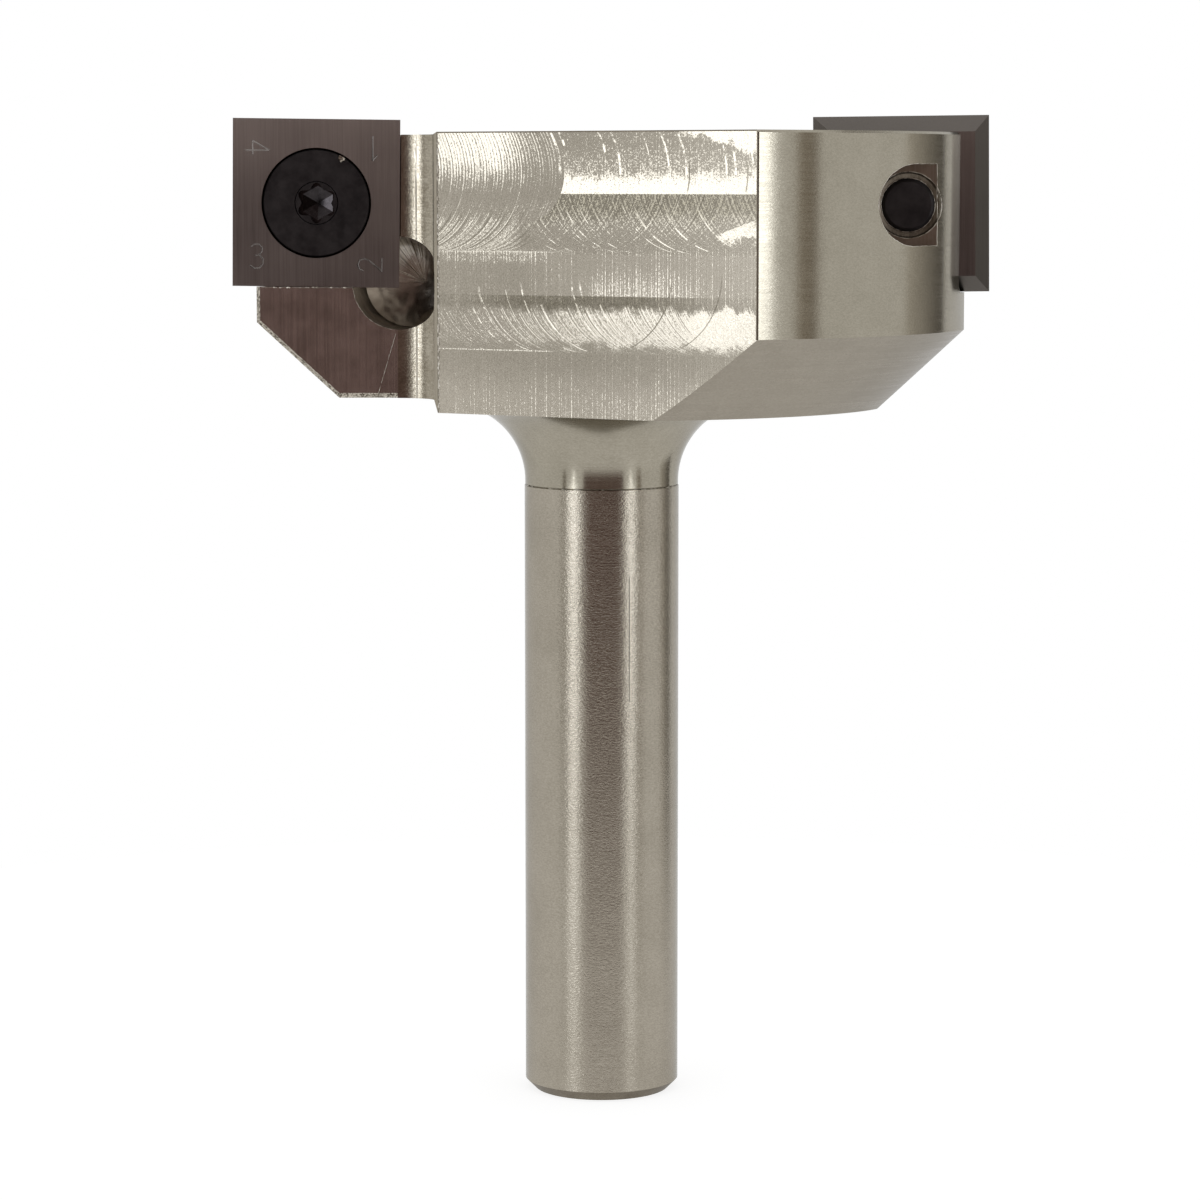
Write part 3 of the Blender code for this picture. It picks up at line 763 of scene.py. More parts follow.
# %% The turned blank
# These are the sizes that the CAD solids were made to, in metres, as in the cells that follow.
SHANK_RADIUS = 0.00635
SHANK_END_CHAMFER = 0.0008
GROUND_LENGTH = 0.0505
GRIND_LINE_DEPTH = 0.00004
GRIND_LINE_WIDTH = 0.00013
NECK_RADIUS = 0.0063
NECK_FILLET = 0.00635
CONE_TOP = 0.0635
HEAD_TOP = 0.07915
HEAD_RADIUS = 0.030
CONE_FOOT_RADIUS = 0.0234
RIM_CHAMFER = 0.0002
# How finely round shapes are drawn, and how near two heights or faces count as the same
SPIN_STEPS = 360
FILLET_STEPS = 24
NEAR = 0.00002

fillet_start = UNDERSIDE - NECK_FILLET
blank_profile = [
    (0, 0),
    (SHANK_RADIUS - SHANK_END_CHAMFER, 0),
    (SHANK_RADIUS, SHANK_END_CHAMFER),
    (SHANK_RADIUS, GROUND_LENGTH - GRIND_LINE_WIDTH / 2),
    (NECK_RADIUS - GRIND_LINE_DEPTH, GROUND_LENGTH),
    (NECK_RADIUS, GROUND_LENGTH + GRIND_LINE_WIDTH / 2),
    *arc((NECK_RADIUS + NECK_FILLET, fillet_start), NECK_FILLET, math.pi, math.pi / 2, FILLET_STEPS),
    (CONE_FOOT_RADIUS, UNDERSIDE),
    (HEAD_RADIUS, CONE_TOP),
    (HEAD_RADIUS, HEAD_TOP - RIM_CHAMFER),
    (HEAD_RADIUS - RIM_CHAMFER, HEAD_TOP),
    (0, HEAD_TOP),
]
blank = turned(blank_profile, SPIN_STEPS)
GROUND, TURNED, SHADED_END, CONE = range(4)
for face in blank.faces:
    height = face.calc_center_median().z
    face.material_index = GROUND if height < GROUND_LENGTH else TURNED
    # The shank's end chamfer gets the darker edge steel: painted shade.
    if height < SHANK_END_CHAMFER:
        face.material_index = SHADED_END
    if UNDERSIDE - NEAR < height < CONE_TOP:
        face.material_index = CONE
print("blank:", len(blank.faces), "faces")

# %% [markdown]
# ### Two wings
#
# The first knife stands in the left wing. It has its own frame, whose origin is the middle of the
# cutting face and whose Y axis points into the wing. The knife, its screw and all that is cut for them
# are drawn in that frame, so that they stay together. The second wing is the first one turned by half a
# turn about Z.

# %% The knife's frame
CUTTING_RADIUS = 0.03175
RAKE_OFFSET = 0.0076
KNIFE_SIDE = 0.014
KNIFE_DISH = math.radians(0.7)
KNIFE_PROUD = 0.0014
HALF_KNIFE = KNIFE_SIDE / 2
TIP_OFFSET = math.sqrt(CUTTING_RADIUS**2 - RAKE_OFFSET**2)
WINGS = ((1, Matrix.Identity(4)), (2, Matrix.Rotation(math.pi, 4, "Z")))

top_corner = Matrix.Rotation(KNIFE_DISH, 3, "Y") @ Vector((-HALF_KNIFE, 0, HALF_KNIFE))
KNIFE = (Matrix.Translation(Vector((-TIP_OFFSET, RAKE_OFFSET, HEAD_TOP + KNIFE_PROUD)) - top_corner)
         @ Matrix.Rotation(KNIFE_DISH, 4, "Y"))
print("knife frame at", [round(1000 * value, 2) for value in KNIFE.translation], "mm")

# %% Cutters for the gullets and flats
# The cutter takes away the gullet's room and the steel in front of the flat in one go.
FLAT_OFFSET = 0.01785
CHIP_ROOM = 0.00313
WALL_DRAFT = math.radians(3.5)
GULLET_CORNER = 0.003175
GULLET_FACE_Y = 0.0073
WALL_OFFSET = TIP_OFFSET - KNIFE_SIDE - CHIP_ROOM
# How far cutters reach out of the head, and how far they pass through a face of it
FAR = 0.04
PAST = 0.001

DOWN_WALL = Vector((math.sin(WALL_DRAFT), -math.cos(WALL_DRAFT), 0))
wall_foot = Vector((-WALL_OFFSET, 0, 0))
short_of_flat = FLAT_OFFSET - wall_foot.dot(FLAT_NORMAL)
FLAT_BEGIN = wall_foot + DOWN_WALL * (short_of_flat / DOWN_WALL.dot(FLAT_NORMAL))


def gullet_cutter():
    """Its faces carry the flat's finish, the gullet face's or the wall's. One facet of the rounded corner
    stands parallel to the flat, and gets the flat's finish too."""
    y = GULLET_FACE_Y - GULLET_CORNER
    centre = Vector((-WALL_OFFSET - y * math.tan(WALL_DRAFT) - GULLET_CORNER / math.cos(WALL_DRAFT), y))
    corner = arc(centre, GULLET_CORNER, math.pi / 2, WALL_DRAFT, FILLET_STEPS)
    beyond = FLAT_BEGIN + ALONG_FLAT * (2 * HEAD_RADIUS + FAR)
    outline = [(-HEAD_RADIUS - FAR, GULLET_FACE_Y), *corner, FLAT_BEGIN, beyond, (-HEAD_RADIUS - FAR, beyond.y)]
    shape = prism(outline, UNDERSIDE - PAST, HEAD_TOP + PAST)
    for side in shape.faces:
        if abs(side.normal.dot(FLAT_NORMAL)) > 0.999:
            side.material_index = 0
        else:
            side.material_index = 1 if abs(side.normal.y) > 0.9999 else 2
    return shape


test = gullet_cutter()
print("the gullet cutter has", len(test.faces), "faces")
test.free()

# %% Cutters for the pocket and the relief
KNIFE_THICKNESS = 0.002
SEAT_GAP = 0.00015
# The solids leave 0.3 mm beside the knife and 0.15 mm below it. The real knife nearly touches there, so
# the gaps that show are thinner here.
POCKET_SIDE_GAP = 0.0001
POCKET_SEAT_GAP = 0.00004
POCKET_CORNER = 0.0007


def pocket_cutter():
    """The pocket, with rounded corners where its floor meets its sides, as an end mill leaves them."""
    inner = HALF_KNIFE + POCKET_SIDE_GAP
    low = -HALF_KNIFE - POCKET_SEAT_GAP
    back = KNIFE_THICKNESS + SEAT_GAP
    shape = prism([(-FAR, -FAR), (inner, -FAR), (inner, back), (-FAR, back)], low, FAR)
    on_seat = [
        edge for edge in shape.edges
        if all(vert.co.y > back - NEAR for vert in edge.verts)
        and (all(vert.co.x > inner - NEAR for vert in edge.verts)
             or all(vert.co.z < low + NEAR for vert in edge.verts))
    ]
    bmesh.ops.bevel(shape, geom=on_seat, offset=POCKET_CORNER, segments=6, profile=0.5, affect="EDGES",
                    material=-1)
    return shape


RELIEF_RADIUS = 0.0039
RELIEF_DEPTH = 0.0095
RELIEF_RISE = 0.0004
RELIEF_TILT = math.radians(5)
DRILL_POINT = math.radians(118)
ROUND_STEPS = 96
corner_place = KNIFE @ Vector((HALF_KNIFE, 0, -HALF_KNIFE))
RELIEF = (Matrix.Translation(Vector((corner_place.x, GULLET_FACE_Y, corner_place.z + RELIEF_RISE)))
          @ Matrix.Rotation(-RELIEF_TILT, 4, "Z"))


def relief_cutter():
    point = RELIEF_RADIUS / math.tan(DRILL_POINT / 2)
    return turned([(0, -FAR), (RELIEF_RADIUS, -FAR), (RELIEF_RADIUS, RELIEF_DEPTH - point),
                   (0, RELIEF_DEPTH)], ROUND_STEPS, "Y")

print("drilled relief at", [round(1000 * value, 2) for value in RELIEF.translation], "mm")

# %% Cutters for the screw's recess and hole
SCREW_HEAD_RADIUS = 0.00445
SCREW_SUNK = 0.00015
SCREW_HEAD_EDGE = 0.0002
STEM_RADIUS = 0.00224
BORE_RADIUS = STEM_RADIUS + 0.0002
HOLE_MOUTH_RADIUS = 0.0026
RECESS_DEPTH = 0.0071
RECESS_RADIUS = 0.003175
RECESS_SHIFT = 0.0004
CONE_START = SCREW_SUNK + SCREW_HEAD_EDGE
CONE_END = CONE_START + SCREW_HEAD_RADIUS - STEM_RADIUS


def recess_cutter():
    """A slot with a round end, which opens at the head's round side."""
    outline = arc((-RECESS_SHIFT, 0), RECESS_RADIUS, -math.pi / 2, math.pi / 2, ROUND_STEPS // 2)
    outline += [Vector((-FAR, RECESS_RADIUS)), Vector((-FAR, -RECESS_RADIUS))]
    shape = prism(outline, RECESS_DEPTH, FAR)
    along_y(shape)
    return shape


def screw_hole_cutter():
    """The screw's hole, with a mouth for its cone at one end and a small chamfer at the other."""
    return turned([
        (0, 0), (BORE_RADIUS + CONE_END, 0), (BORE_RADIUS, CONE_END),
        (BORE_RADIUS, RECESS_DEPTH - (HOLE_MOUTH_RADIUS - BORE_RADIUS)), (HOLE_MOUTH_RADIUS, RECESS_DEPTH),
        (HOLE_MOUTH_RADIUS, RECESS_DEPTH + PAST), (0, RECESS_DEPTH + PAST),
    ], ROUND_STEPS, "Y")


print("screw hole", round(2000 * BORE_RADIUS, 2), "mm wide")

# %% Prisms that break the edges
EDGE_BREAK = 0.00042
# The flat's edges were only stroked with a file, which leaves a narrow chamfer round the flat. Its darker steel
# makes a hairline of painted shade there.
FILED = 0.00011
# The underside's edge is broken up to here before the gullet's rounded corner.
SHORT_OF_CORNER = 0.0003
UP = Vector((0, 0, 1))
OUTWARD = Vector((-1, 0, 0))


def edge_breaker(start, end, inward, away, size):
    """A prism that takes the corner off an edge. The two directions lie in the faces beside it."""
    across = (inward - away).normalized() * PAST
    section = [inward * size + across, away * size - across, (inward + away) * -PAST]
    return extruded([start + point for point in section], end - start)


side_x = -math.sqrt(HEAD_RADIUS**2 - GULLET_FACE_Y**2)
shoulder = Vector((side_x, GULLET_FACE_Y, CONE_TOP))
foot = Vector((-math.sqrt(CONE_FOOT_RADIUS**2 - GULLET_FACE_Y**2), GULLET_FACE_Y, UNDERSIDE))
inner_end = Vector((-WALL_OFFSET - GULLET_CORNER - SHORT_OF_CORNER, GULLET_FACE_Y, UNDERSIDE))
around_rim = Vector((GULLET_FACE_Y, -side_x, 0)).normalized()
down_cone = (foot - shoulder).normalized()
above_cone = Vector((-down_cone.z, 0, down_cone.x))
half_chord = math.sqrt(HEAD_RADIUS**2 - FLAT_OFFSET**2)
flat_end = FLAT_NORMAL * FLAT_OFFSET + ALONG_FLAT * half_chord
round_side = Vector((-flat_end.y, flat_end.x, 0)).normalized()
at_top = UP * HEAD_TOP
EDGES = {
    "side_edge": (shoulder - UP * PAST, shoulder + UP * (HEAD_TOP - UNDERSIDE), -OUTWARD, around_rim,
                  EDGE_BREAK, edge_steel),
    "cone_edge": (shoulder - down_cone * PAST, foot + down_cone * PAST, above_cone, around_rim,
                  EDGE_BREAK, edge_steel),
    "underside_edge": (foot + OUTWARD * PAST, inner_end, UP, Vector((0, 1, 0)), EDGE_BREAK, edge_steel),
    "flat_side_edge": (flat_end + UP * CONE_TOP, flat_end + at_top + UP * PAST, -ALONG_FLAT, round_side,
                       FILED, shaded_edge_steel),
    "flat_top_edge": (FLAT_BEGIN + at_top - ALONG_FLAT * PAST, flat_end + at_top + ALONG_FLAT * PAST,
                      -UP, -FLAT_NORMAL, FILED, shaded_edge_steel),
    "flat_gullet_edge": (FLAT_BEGIN + UP * UNDERSIDE - UP * PAST, FLAT_BEGIN + at_top + UP * PAST,
                         ALONG_FLAT, -DOWN_WALL, FILED, shaded_edge_steel),
}
print(len(EDGES), "edges of each wing are broken or filed")

# %% Cut the body
def wing_cutters():
    """Each cutter of the first wing: its name, its shape, its place and its finishes."""
    yield "gullet", gullet_cutter(), Matrix.Identity(4), (flat_steel, gullet_steel, wall_steel)
    for name, (*edge, steel) in EDGES.items():
        yield name, edge_breaker(*edge), Matrix.Identity(4), (steel,)
    yield "pocket", pocket_cutter(), KNIFE, (pocket_steel,)
    yield "corner_relief", relief_cutter(), RELIEF, (drilled_steel,)
    yield "screw_recess", recess_cutter(), KNIFE, (pocket_steel,)
    yield "screw_hole", screw_hole_cutter(), KNIFE, (shaded_hole_steel,)


body = piece("steel_body", blank, ground_steel, turned_steel, shaded_edge_steel, shaded_cone_steel)
for number, turn in WINGS:
    for name, shape, place, finishes in wing_cutters():
        cutter = piece(f"{name}_{number}", shape, *finishes)
        cutter.matrix_world = turn @ place
        cut(body, cutter)
keep_result(body)
print("body:", len(body.data.polygons), "faces,", [slot.name for slot in body.data.materials])

# %% Shade the body
def smooth(target, sharp_angle=30.0):
    """Smooth shading, with edges sharper than an angle kept, and level faces kept level."""
    target.data.shade_smooth()
    target.data.set_sharp_from_angle(angle=math.radians(sharp_angle))
    weighted = target.modifiers.new("level_faces", "WEIGHTED_NORMAL")
    weighted.keep_sharp = True


smooth(body)
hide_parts("cutter_body")
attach(body, "root")
print("the body's sharp edges:", sum(edge.use_edge_sharp for edge in body.data.edges))

# %% [markdown]
# ## Burrs and thread starts
#
# Cutters push up a ragged lip of steel where they leave an edge. The lips are only a few hundredths of
# a millimetre high, and they show as rows of bright dashes: their steel is drawn paler, a painted glint.
# Each is a thin tube along its edge, whose radius comes and goes. The first thread of each screw hole is
# cut as a ridge that runs round the hole's mouth.

# %% A burr along an edge
# How far a burr strays from its line and how thick its ragged places are, in shares of its thickness.
# Between them it is as thin as a hair.
STRAY = 0.4
RAGGED = (0.5, 1.1)
THIN = 0.12


def burr(name, corners, thickness, spacing, filled, seed, turn):
    """A ragged thread of steel along a line of points. Filled is how much of the line has a lip."""
    chance = random.Random(seed)
    places = []
    for start, end in zip(corners, corners[1:]):
        count = max(1, round((end - start).length / spacing))
        places += [start.lerp(end, i / count) for i in range(count)]
    places.append(corners[-1])
    curve = bpy.data.curves.new(name, "CURVE")
    curve.dimensions = "3D"
    curve.bevel_depth = thickness
    curve.bevel_resolution = 1
    curve.use_fill_caps = True
    line = curve.splines.new("POLY")
    line.points.add(len(places) - 1)
    for point, at_place in zip(line.points, places):
        jitter = Vector([chance.uniform(-STRAY, STRAY) * thickness for _ in range(3)])
        point.co = (*(at_place + jitter), 1)
        point.radius = chance.uniform(*RAGGED) if chance.random() < filled else THIN
    source = bpy.data.objects.new(name, curve)
    mesh = bpy.data.meshes.new_from_object(source)
    bpy.data.objects.remove(source)
    mesh.transform(turn)
    mesh.materials.append(glinting_burr_steel)
    lip = bpy.data.objects.new(name, mesh)
    scene.collection.objects.link(lip)
    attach(lip, "root")


print("burrs stray by up to", STRAY, "of their thickness")

# %% Where the burrs run
def on_the_round_side(across, up):
    """The point of the head's round side that lies behind a point of the knife's frame."""
    point = KNIFE @ Vector((across, 0, up))
    return Vector((point.x, math.sqrt(HEAD_RADIUS**2 - point.x**2), point.z))


floor_y = RAKE_OFFSET + RECESS_DEPTH
floor_end = -math.sqrt(HEAD_RADIUS**2 - floor_y**2) - KNIFE.translation.x
recess_line = [on_the_round_side(floor_end, -RECESS_RADIUS)]
recess_line += [on_the_round_side(point.x, point.y)
                for point in arc((-RECESS_SHIFT, 0), RECESS_RADIUS, -math.pi / 2, math.pi / 2, 32)]
recess_line += [on_the_round_side(floor_end, RECESS_RADIUS), on_the_round_side(floor_end, -RECESS_RADIUS)]
relief_middle = RELIEF.translation
relief_line = [relief_middle + RELIEF_RADIUS * Vector((math.cos(a), 0, math.sin(a)))
               for a in (math.radians(184 + 3 * i) for i in range(28))]
ledge_z = (KNIFE @ Vector((0, 0, -HALF_KNIFE - POCKET_SEAT_GAP))).z
ledge = [Vector((x, GULLET_FACE_Y, ledge_z)) for x in (side_x + EDGE_BREAK, relief_middle.x - RELIEF_RADIUS)]
# The flat's burr stops short of the edges above and below it.
ends = ((UNDERSIDE, 0.0002), (HEAD_TOP, -0.0002))
gullet_edge = [FLAT_BEGIN + ALONG_FLAT * FILED + UP * (height + inset) for height, inset in ends]
ring_line = [Vector((NECK_RADIUS * math.sin(a), -NECK_RADIUS * math.cos(a), GROUND_LENGTH))
             for a in (math.radians(2 * i) for i in range(180))]
gullet_scratch = [Vector((-0.01726, GULLET_FACE_Y, 0.06265)), Vector((-0.01877, GULLET_FACE_Y, 0.0576))]
print("the ledge below each knife is", round(1000 * (ledge[1] - ledge[0]).length, 2), "mm long")

# %% Burrs
# Each has its line, its thickness, the spacing of its points, the share of it that has a lip, and a seed.
BURRS = {
    "recess_burr": (recess_line, 0.00004, 0.00025, 0.9, 0),
    "relief_burr": (relief_line, 0.00003, 0.0002, 0.6, 10),
    "ledge_burr": (ledge, 0.00008, 0.0001, 0.22, 20),
    "flat_burr": (gullet_edge, 0.00009, 0.00014, 0.55, 30),
    "gullet_scratch": (gullet_scratch, 0.00003, 0.0002, 0.85, 40),
}
for number, turn in WINGS:
    for name, (line, thickness, spacing, filled, seed) in BURRS.items():
        burr(f"{name}_{number}", line, thickness, spacing, filled, number + seed, turn)
burr("grind_line_burr", ring_line, 0.00004, 0.0002, 0.25, 50, Matrix.Identity(4))
print(len(BURRS), "burrs on each wing and one round the shank")

# %% Thread starts
# The thread's first crest closes the hole down to the screw's chamfer. It is a ring round the screw,
# and its lip is one more burr.
THREAD_CREST_RADIUS = 0.0021
CREST_DEPTHS = (0.00017, 0.0003, 0.0004, 0.00055)


def thread_start():
    """A ring whose section is a blunt ridge, a little below the hole's mouth."""
    radii = (BORE_RADIUS, THREAD_CREST_RADIUS, THREAD_CREST_RADIUS, BORE_RADIUS)
    section = [(radius, RECESS_DEPTH - depth) for radius, depth in zip(radii, CREST_DEPTHS)]
    return turned(section, ROUND_STEPS, "Y", closed=True)


for number, turn in WINGS:
    ring = piece(f"thread_start_{number}", thread_start(), shaded_hole_steel)
    ring.data.transform(turn @ KNIFE)
    ring.data.shade_smooth()
    ring.data.set_sharp_from_angle(angle=math.radians(20))
    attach(ring, "root")
    for name, radius, sunk in (("crest", THREAD_CREST_RADIUS, 0.00028), ("mouth", HOLE_MOUTH_RADIUS, 0.0)):
        lip = [KNIFE @ Vector((radius * math.cos(a), RECESS_DEPTH - sunk, radius * math.sin(a)))
               for a in (math.radians(5 * i) for i in range(73))]
        burr(f"{name}_burr_{number}", lip, 0.00004, 0.00018, 0.75, number + 60, turn)
    print(ring.name, len(ring.data.polygons), "faces")

# %% [markdown]
# ## Knives
#
# A knife is a 14 mm square plate of ground tungsten carbide. It narrows to its back, so that each
# of its four edges cuts, and the corners carry small engraved numbers for turning it in order.

# %% Ground carbide
# The grinding lines run up the knife. They are drawn 0.1 mm apart, coarser than the real ones. The sides
# and back are drawn darker than the front, as painted shade, and the upper part is drawn a little lighter.
LINES_PER_MM = (9.0, 9.0, 0.12)
LIGHTER_HEIGHTS = (73.0, 80.5)


def carbide_finish(name, dull, tones):
    made, tree, shader, place = metal(name, dull)
    stretched = add(tree, "Mapping", {"Vector": place, "Scale": LINES_PER_MM})
    scratches = add(tree, "TexNoise", {"Vector": stretched, "Scale": 1.0, "Detail": 4.0, "Roughness": 0.7})
    clouds = add(tree, "TexNoise", {"Vector": place, "Scale": 0.16, "Detail": 2.0})
    height = add(tree, "SeparateXYZ", (place,)).outputs["Z"]
    # The knife's colour gets lighter towards its top.
    lighter_upward = add(tree, "MapRange", {"Value": height, "From Min": LIGHTER_HEIGHTS[0], "From Max": LIGHTER_HEIGHTS[1],
                                  "To Min": 0.0, "To Max": 0.5})
    tone = add(tree, "Math MULTIPLY_ADD", (scratches, 0.6, -0.25))
    tone = add(tree, "Math ADD", (tone, lighter_upward))
    tone = add(tree, "Math MULTIPLY_ADD", (clouds, 0.5, tone))
    tint(tree, shader, tone, 0.0, 1.0, tones)
    bump = add(tree, "Bump", {"Height": scratches, "Strength": 1.0, "Distance": 0.0000015})
    tree.links.new(bump.outputs[0], shader.inputs["Normal"])
    return made


carbide = carbide_finish("tungsten carbide, surface ground", 0.3, ("#6D6867", "#C2BFBA"))
# The sides and back are darker copies of the same carbide: painted shade.
shaded_carbide_side = carbide_finish("tungsten carbide, ground clearance side", 0.34, ("#4A4641", "#67615C"))
shaded_carbide_back = carbide_finish("tungsten carbide, ground back", 0.3, ("#5E5957", "#A19C97"))
engraved = carbide_finish("tungsten carbide, laser engraved", 0.5, ("#6E6966", "#A8A29D"))
print("made", carbide.name, "and", shaded_carbide_side.name)

# %% Knife shape
KNIFE_BEVEL = 0.0013


def knife_shape():
    """A square plate that narrows to its back."""
    shape = bmesh.new()
    bmesh.ops.create_cube(shape, size=1)
    for vert in shape.verts:
        half = HALF_KNIFE - KNIFE_BEVEL if vert.co.y > 0 else HALF_KNIFE
        vert.co = (math.copysign(half, vert.co.x), KNIFE_THICKNESS if vert.co.y > 0 else 0,
                   math.copysign(half, vert.co.z))
    bmesh.ops.recalc_face_normals(shape, faces=shape.faces)
    for face in shape.faces:
        # Front, sides and back
        face.material_index = 0 if face.normal.y < -0.9 else 2 if face.normal.y > 0.9 else 1
    return shape


# Each number is drawn as strokes inside a box 1.1 mm wide and 2 mm high, turned with its corner.
NUMBERS = (
    ([[(-0.30, 0.60), (0.05, 1.0), (0.05, -1.0)]], (4.75, 4.6), 180),
    ([[(-0.5, 0.55), (-0.38, 0.85), (0, 1), (0.38, 0.85), (0.5, 0.5), (0.38, 0.1), (-0.05, -0.45),
       (-0.55, -1), (0.55, -1)]], (4.5, -5.1), 90),
    ([[(-0.45, 0.8), (-0.2, 1), (0.2, 1), (0.45, 0.75), (0.45, 0.4), (0.2, 0.12), (-0.1, 0.05)],
      [(0.2, 0.12), (0.52, -0.2), (0.55, -0.6), (0.25, -0.97), (-0.2, -1), (-0.55, -0.75)]], (-5.0, -4.5), 0),
    ([[(0.25, -1), (0.25, 1), (-0.55, -0.4), (0.6, -0.4)]], (-4.95, 4.6), -90),
)
STROKE_RADIUS = 0.000075
STROKE_RISE = 0.00002


def number_cutter():
    """All the strokes of the four numbers, as thin rods half sunk in the cutting face."""
    rods = bmesh.new()
    for strokes, middle, degrees in NUMBERS:
        turn = Matrix.Rotation(math.radians(degrees), 2)
        for stroke in strokes:
            spots = [turn @ Vector(spot) + Vector(middle) for spot in stroke]
            for start, end in zip(spots, spots[1:]):
                along = Vector((end.x - start.x, 0, end.y - start.y)) / 1000
                middle_of_rod = Vector((start.x + end.x, 0, start.y + end.y)) / 2000
                middle_of_rod.y = -STROKE_RISE
                facing = along.to_track_quat("Z", "Y").to_matrix().to_4x4()
                bmesh.ops.create_cone(rods, cap_ends=True, segments=8, radius1=STROKE_RADIUS,
                                      radius2=STROKE_RADIUS, depth=along.length + STROKE_RADIUS,
                                      matrix=Matrix.Translation(middle_of_rod) @ facing)
    return rods


print(len(NUMBERS), "numbers, with strokes", round(2000 * STROKE_RADIUS, 2), "mm wide")

# %% The two knives
KNIFE_HOLE_RADIUS = 0.00275


def knife_hole_cutter():
    """The knife's hole, with a countersink for the screw's head."""
    mouth = SCREW_HEAD_RADIUS + SEAT_GAP
    return turned([
        (0, -PAST), (mouth, -PAST), (mouth, CONE_START),
        (KNIFE_HOLE_RADIUS, CONE_START + mouth - KNIFE_HOLE_RADIUS),
        (KNIFE_HOLE_RADIUS, KNIFE_THICKNESS + PAST), (0, KNIFE_THICKNESS + PAST),
    ], ROUND_STEPS, "Y")


for number, turn in WINGS:
    blade = piece(f"carbide_knife_{number}", knife_shape(), carbide, shaded_carbide_side, shaded_carbide_back)
    cut(blade, piece("knife_hole", knife_hole_cutter(), shaded_carbide_side))
    cut(blade, piece("engraved_numbers", number_cutter(), engraved))
    blade.modifiers[-1].use_self = True
    keep_result(blade)
    blade.data.transform(turn @ KNIFE)
    smooth(blade)
    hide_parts(f"insert_knife_{number}")
    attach(blade, "root")
    print(blade.name, len(blade.data.polygons), "faces")

# %% [markdown]
# ## Screws
#
# Each knife is held by a countersunk screw of hardened alloy steel with a six-lobed socket. Black
# oxide is a thin chemical skin, not a paint: it darkens the steel and leaves it a little shiny, and
# where it is knocked the bright steel shows. The socket is pressed in, so its bottom is a blunt
# point with six facets, and the punch leaves a shallow ring round it.

# %% Black oxide
black_oxide, tree, shader, place = metal("alloy steel, black oxide", 0.4)
shader.inputs["Metallic"].default_value = 0.7
cloudy = add(tree, "TexNoise", {"Vector": place, "Scale": 0.8, "Detail": 5.0, "Roughness": 0.65})
grain = add(tree, "TexNoise", {"Vector": place, "Scale": 9.0, "Detail": 2.0, "Roughness": 0.6})
tint(tree, shader, cloudy, 0.35, 0.68, ("#292627", "#383434"))
rough = add(tree, "MapRange", {"Value": cloudy, "From Min": 0.35, "From Max": 0.68,
                               "To Min": 0.34, "To Max": 0.46})
tree.links.new(rough.outputs[0], shader.inputs["Roughness"])
bump = add(tree, "Bump", {"Height": grain, "Strength": 1.0, "Distance": 0.000004})
tree.links.new(bump.outputs[0], shader.inputs["Normal"])

# The punch left the pressed faces smoother, so they shine more than the head round them.
pressed_oxide, tree, shader, place = metal("alloy steel, black oxide in the pressed socket", 0.24)
shader.inputs["Metallic"].default_value = 0.9
streaks = add(tree, "TexNoise", {"Vector": place, "Scale": 3.0, "Detail": 3.0})
tint(tree, shader, streaks, 0.0, 1.0, ("#242122", "#474344"))
print("made", black_oxide.name, "and", pressed_oxide.name)

# %% Screw shape
TIP_FACE_RADIUS = 0.0018
SCREW_RIM_BREAK = 0.00006


def screw_shape():
    """A countersunk screw whose thread is drawn as a plain stem, with a chamfer at its tip."""
    return turned([
        (0, SCREW_SUNK), (SCREW_HEAD_RADIUS - SCREW_RIM_BREAK, SCREW_SUNK),
        (SCREW_HEAD_RADIUS, SCREW_SUNK + SCREW_RIM_BREAK), (SCREW_HEAD_RADIUS, CONE_START),
        (STEM_RADIUS, CONE_END), (STEM_RADIUS, RECESS_DEPTH - (STEM_RADIUS - TIP_FACE_RADIUS)),
        (TIP_FACE_RADIUS, RECESS_DEPTH), (0, RECESS_DEPTH),
    ], ROUND_STEPS, "Y")


print("screw", round(1000 * (RECESS_DEPTH - SCREW_SUNK), 2), "mm long")

# %% Socket and its ring
SOCKET_RADIUS = 0.0017
SOCKET_WAIST = 0.00125
SOCKET_DEPTH = 0.0017
SOCKET_STEPS = 120
SOCKET_POINT_RADIUS = 0.00144
SOCKET_POINT = 0.00044
PRESS_RING = 0.00179
PRESS_RING_HALF_WIDTH = 0.0001
PRESS_RING_DEPTH = 0.00005


def socket_cutter():
    """The socket's outline is a circle that swells and narrows six times."""
    middle = (SOCKET_RADIUS + SOCKET_WAIST) / 2
    wave = (SOCKET_RADIUS - SOCKET_WAIST) / 2
    outline = []
    for i in range(SOCKET_STEPS):
        angle = 2 * math.pi * i / SOCKET_STEPS
        radius = middle + wave * math.cos(6 * angle)
        outline.append(Vector((radius * math.sin(angle), radius * math.cos(angle))))
    shape = prism(outline, -PAST, SCREW_SUNK + SOCKET_DEPTH)
    along_y(shape)
    return shape


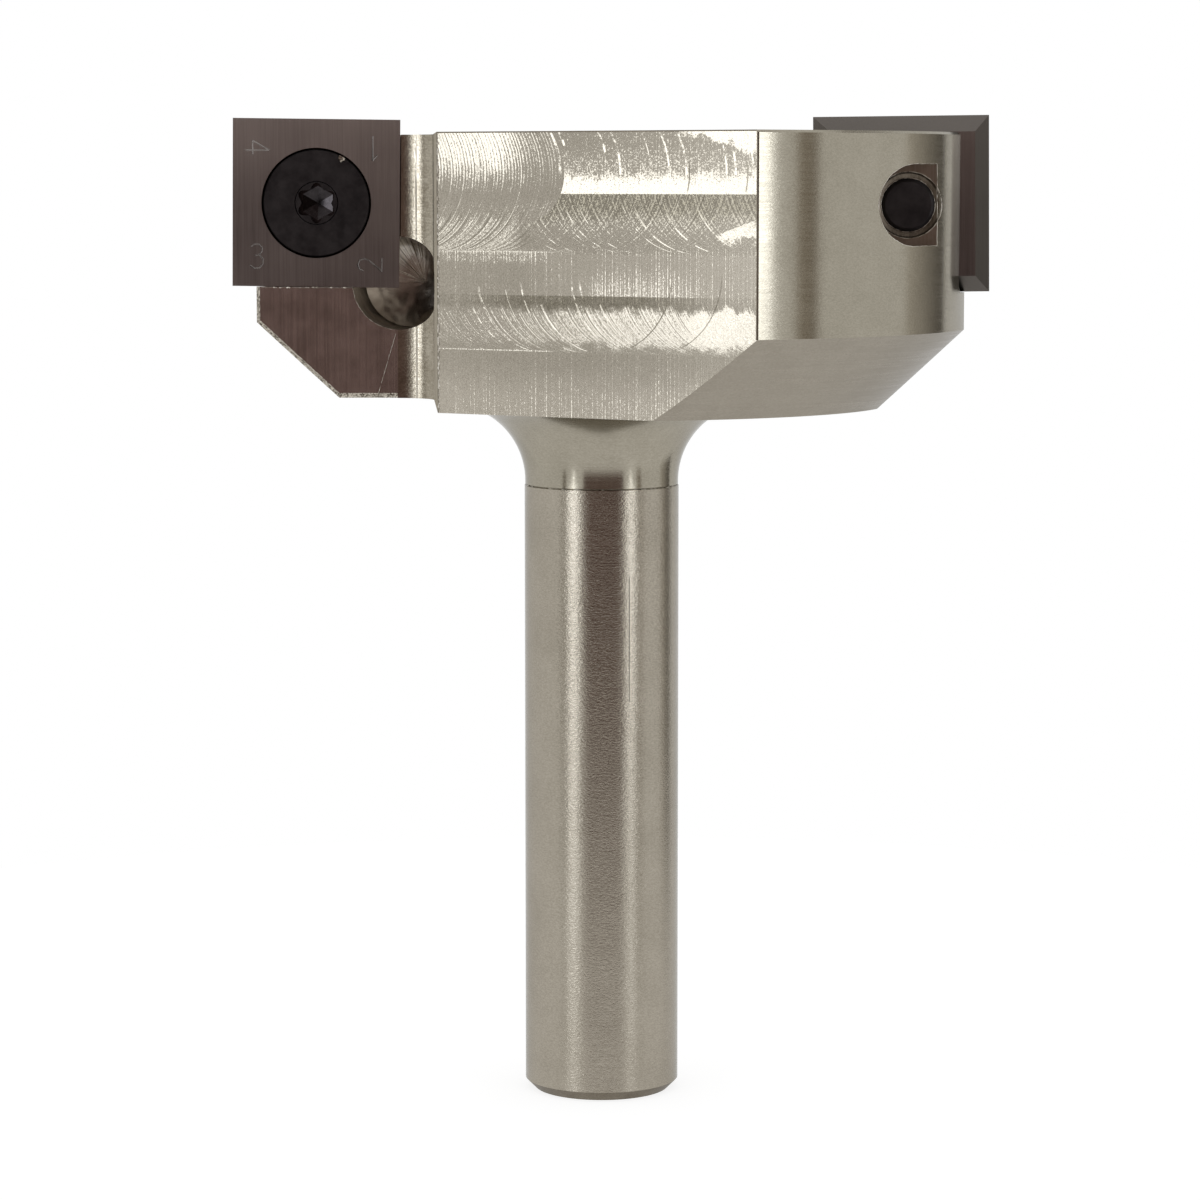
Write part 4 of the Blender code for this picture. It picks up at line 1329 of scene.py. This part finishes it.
def socket_point_cutter():
    """The blunt point with six facets below the socket."""
    bottom = SCREW_SUNK + SOCKET_DEPTH
    outline = [Vector((SOCKET_POINT_RADIUS * math.sin(a), SOCKET_POINT_RADIUS * math.cos(a)))
               for a in (math.radians(60 * i) for i in range(6))]
    shape = prism(outline, bottom - PAST / 4, bottom)
    low_face = next(face for face in shape.faces if face.normal.z > 0.9)
    point = bmesh.ops.poke(shape, faces=[low_face], offset=0)["verts"][0]
    point.co.z += SOCKET_POINT
    along_y(shape)
    bmesh.ops.recalc_face_normals(shape, faces=shape.faces)
    return shape


def press_ring_cutter():
    """A shallow groove round the socket."""
    section = [(PRESS_RING - PRESS_RING_HALF_WIDTH, SCREW_SUNK - PRESS_RING_DEPTH),
               (PRESS_RING + PRESS_RING_HALF_WIDTH, SCREW_SUNK - PRESS_RING_DEPTH),
               (PRESS_RING, SCREW_SUNK + PRESS_RING_DEPTH)]
    return turned(section, ROUND_STEPS, "Y", closed=True)


print("socket", round(2000 * SOCKET_RADIUS, 2), "mm over its lobes")

# %% A nick in the first screw's rim
NICK_RADIUS = 0.00036
NICK_PLACE = (0.0021, SCREW_SUNK, 0.0038)


def nick_cutter():
    """A rough flat lump, which is cut out of the head's edge."""
    lump = bmesh.new()
    bmesh.ops.create_icosphere(lump, subdivisions=2, radius=NICK_RADIUS)
    chance = random.Random(7)
    for vert in lump.verts:
        vert.co *= chance.uniform(0.75, 1.1)
        vert.co.y *= 0.3
    bmesh.ops.rotate(lump, verts=lump.verts, matrix=Matrix.Rotation(math.radians(-20), 3, "Y"))
    bmesh.ops.translate(lump, verts=lump.verts, vec=NICK_PLACE)
    return lump


print("nick at", [round(1000 * value, 1) for value in NICK_PLACE], "mm in the knife's frame")

# %% The two screws
for number, turn in WINGS:
    screw = piece(f"socket_screw_{number}", screw_shape(), black_oxide)
    for name, shape in (("socket", socket_cutter()), ("socket_point", socket_point_cutter()),
                        ("press_ring", press_ring_cutter())):
        cut(screw, piece(name, shape, pressed_oxide))
    if number == 1:
        cut(screw, piece("nick", nick_cutter(), edge_steel))
    keep_result(screw)
    screw.data.transform(turn @ KNIFE)
    smooth(screw, 15.0)
    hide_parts(f"insert_screw_{number}")
    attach(screw, "root")
    print(screw.name, len(screw.data.polygons), "faces")

# %% [markdown]
# ## The size of the finished bit

# %% Finish
bpy.context.view_layer.update()
boxes = {"cad": [list(corner) for corner in CAD_BOX], "visual": [list(corner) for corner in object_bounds()]}
print("visual box in mm:", [[round(1000 * value, 2) for value in corner] for corner in boxes["visual"]])
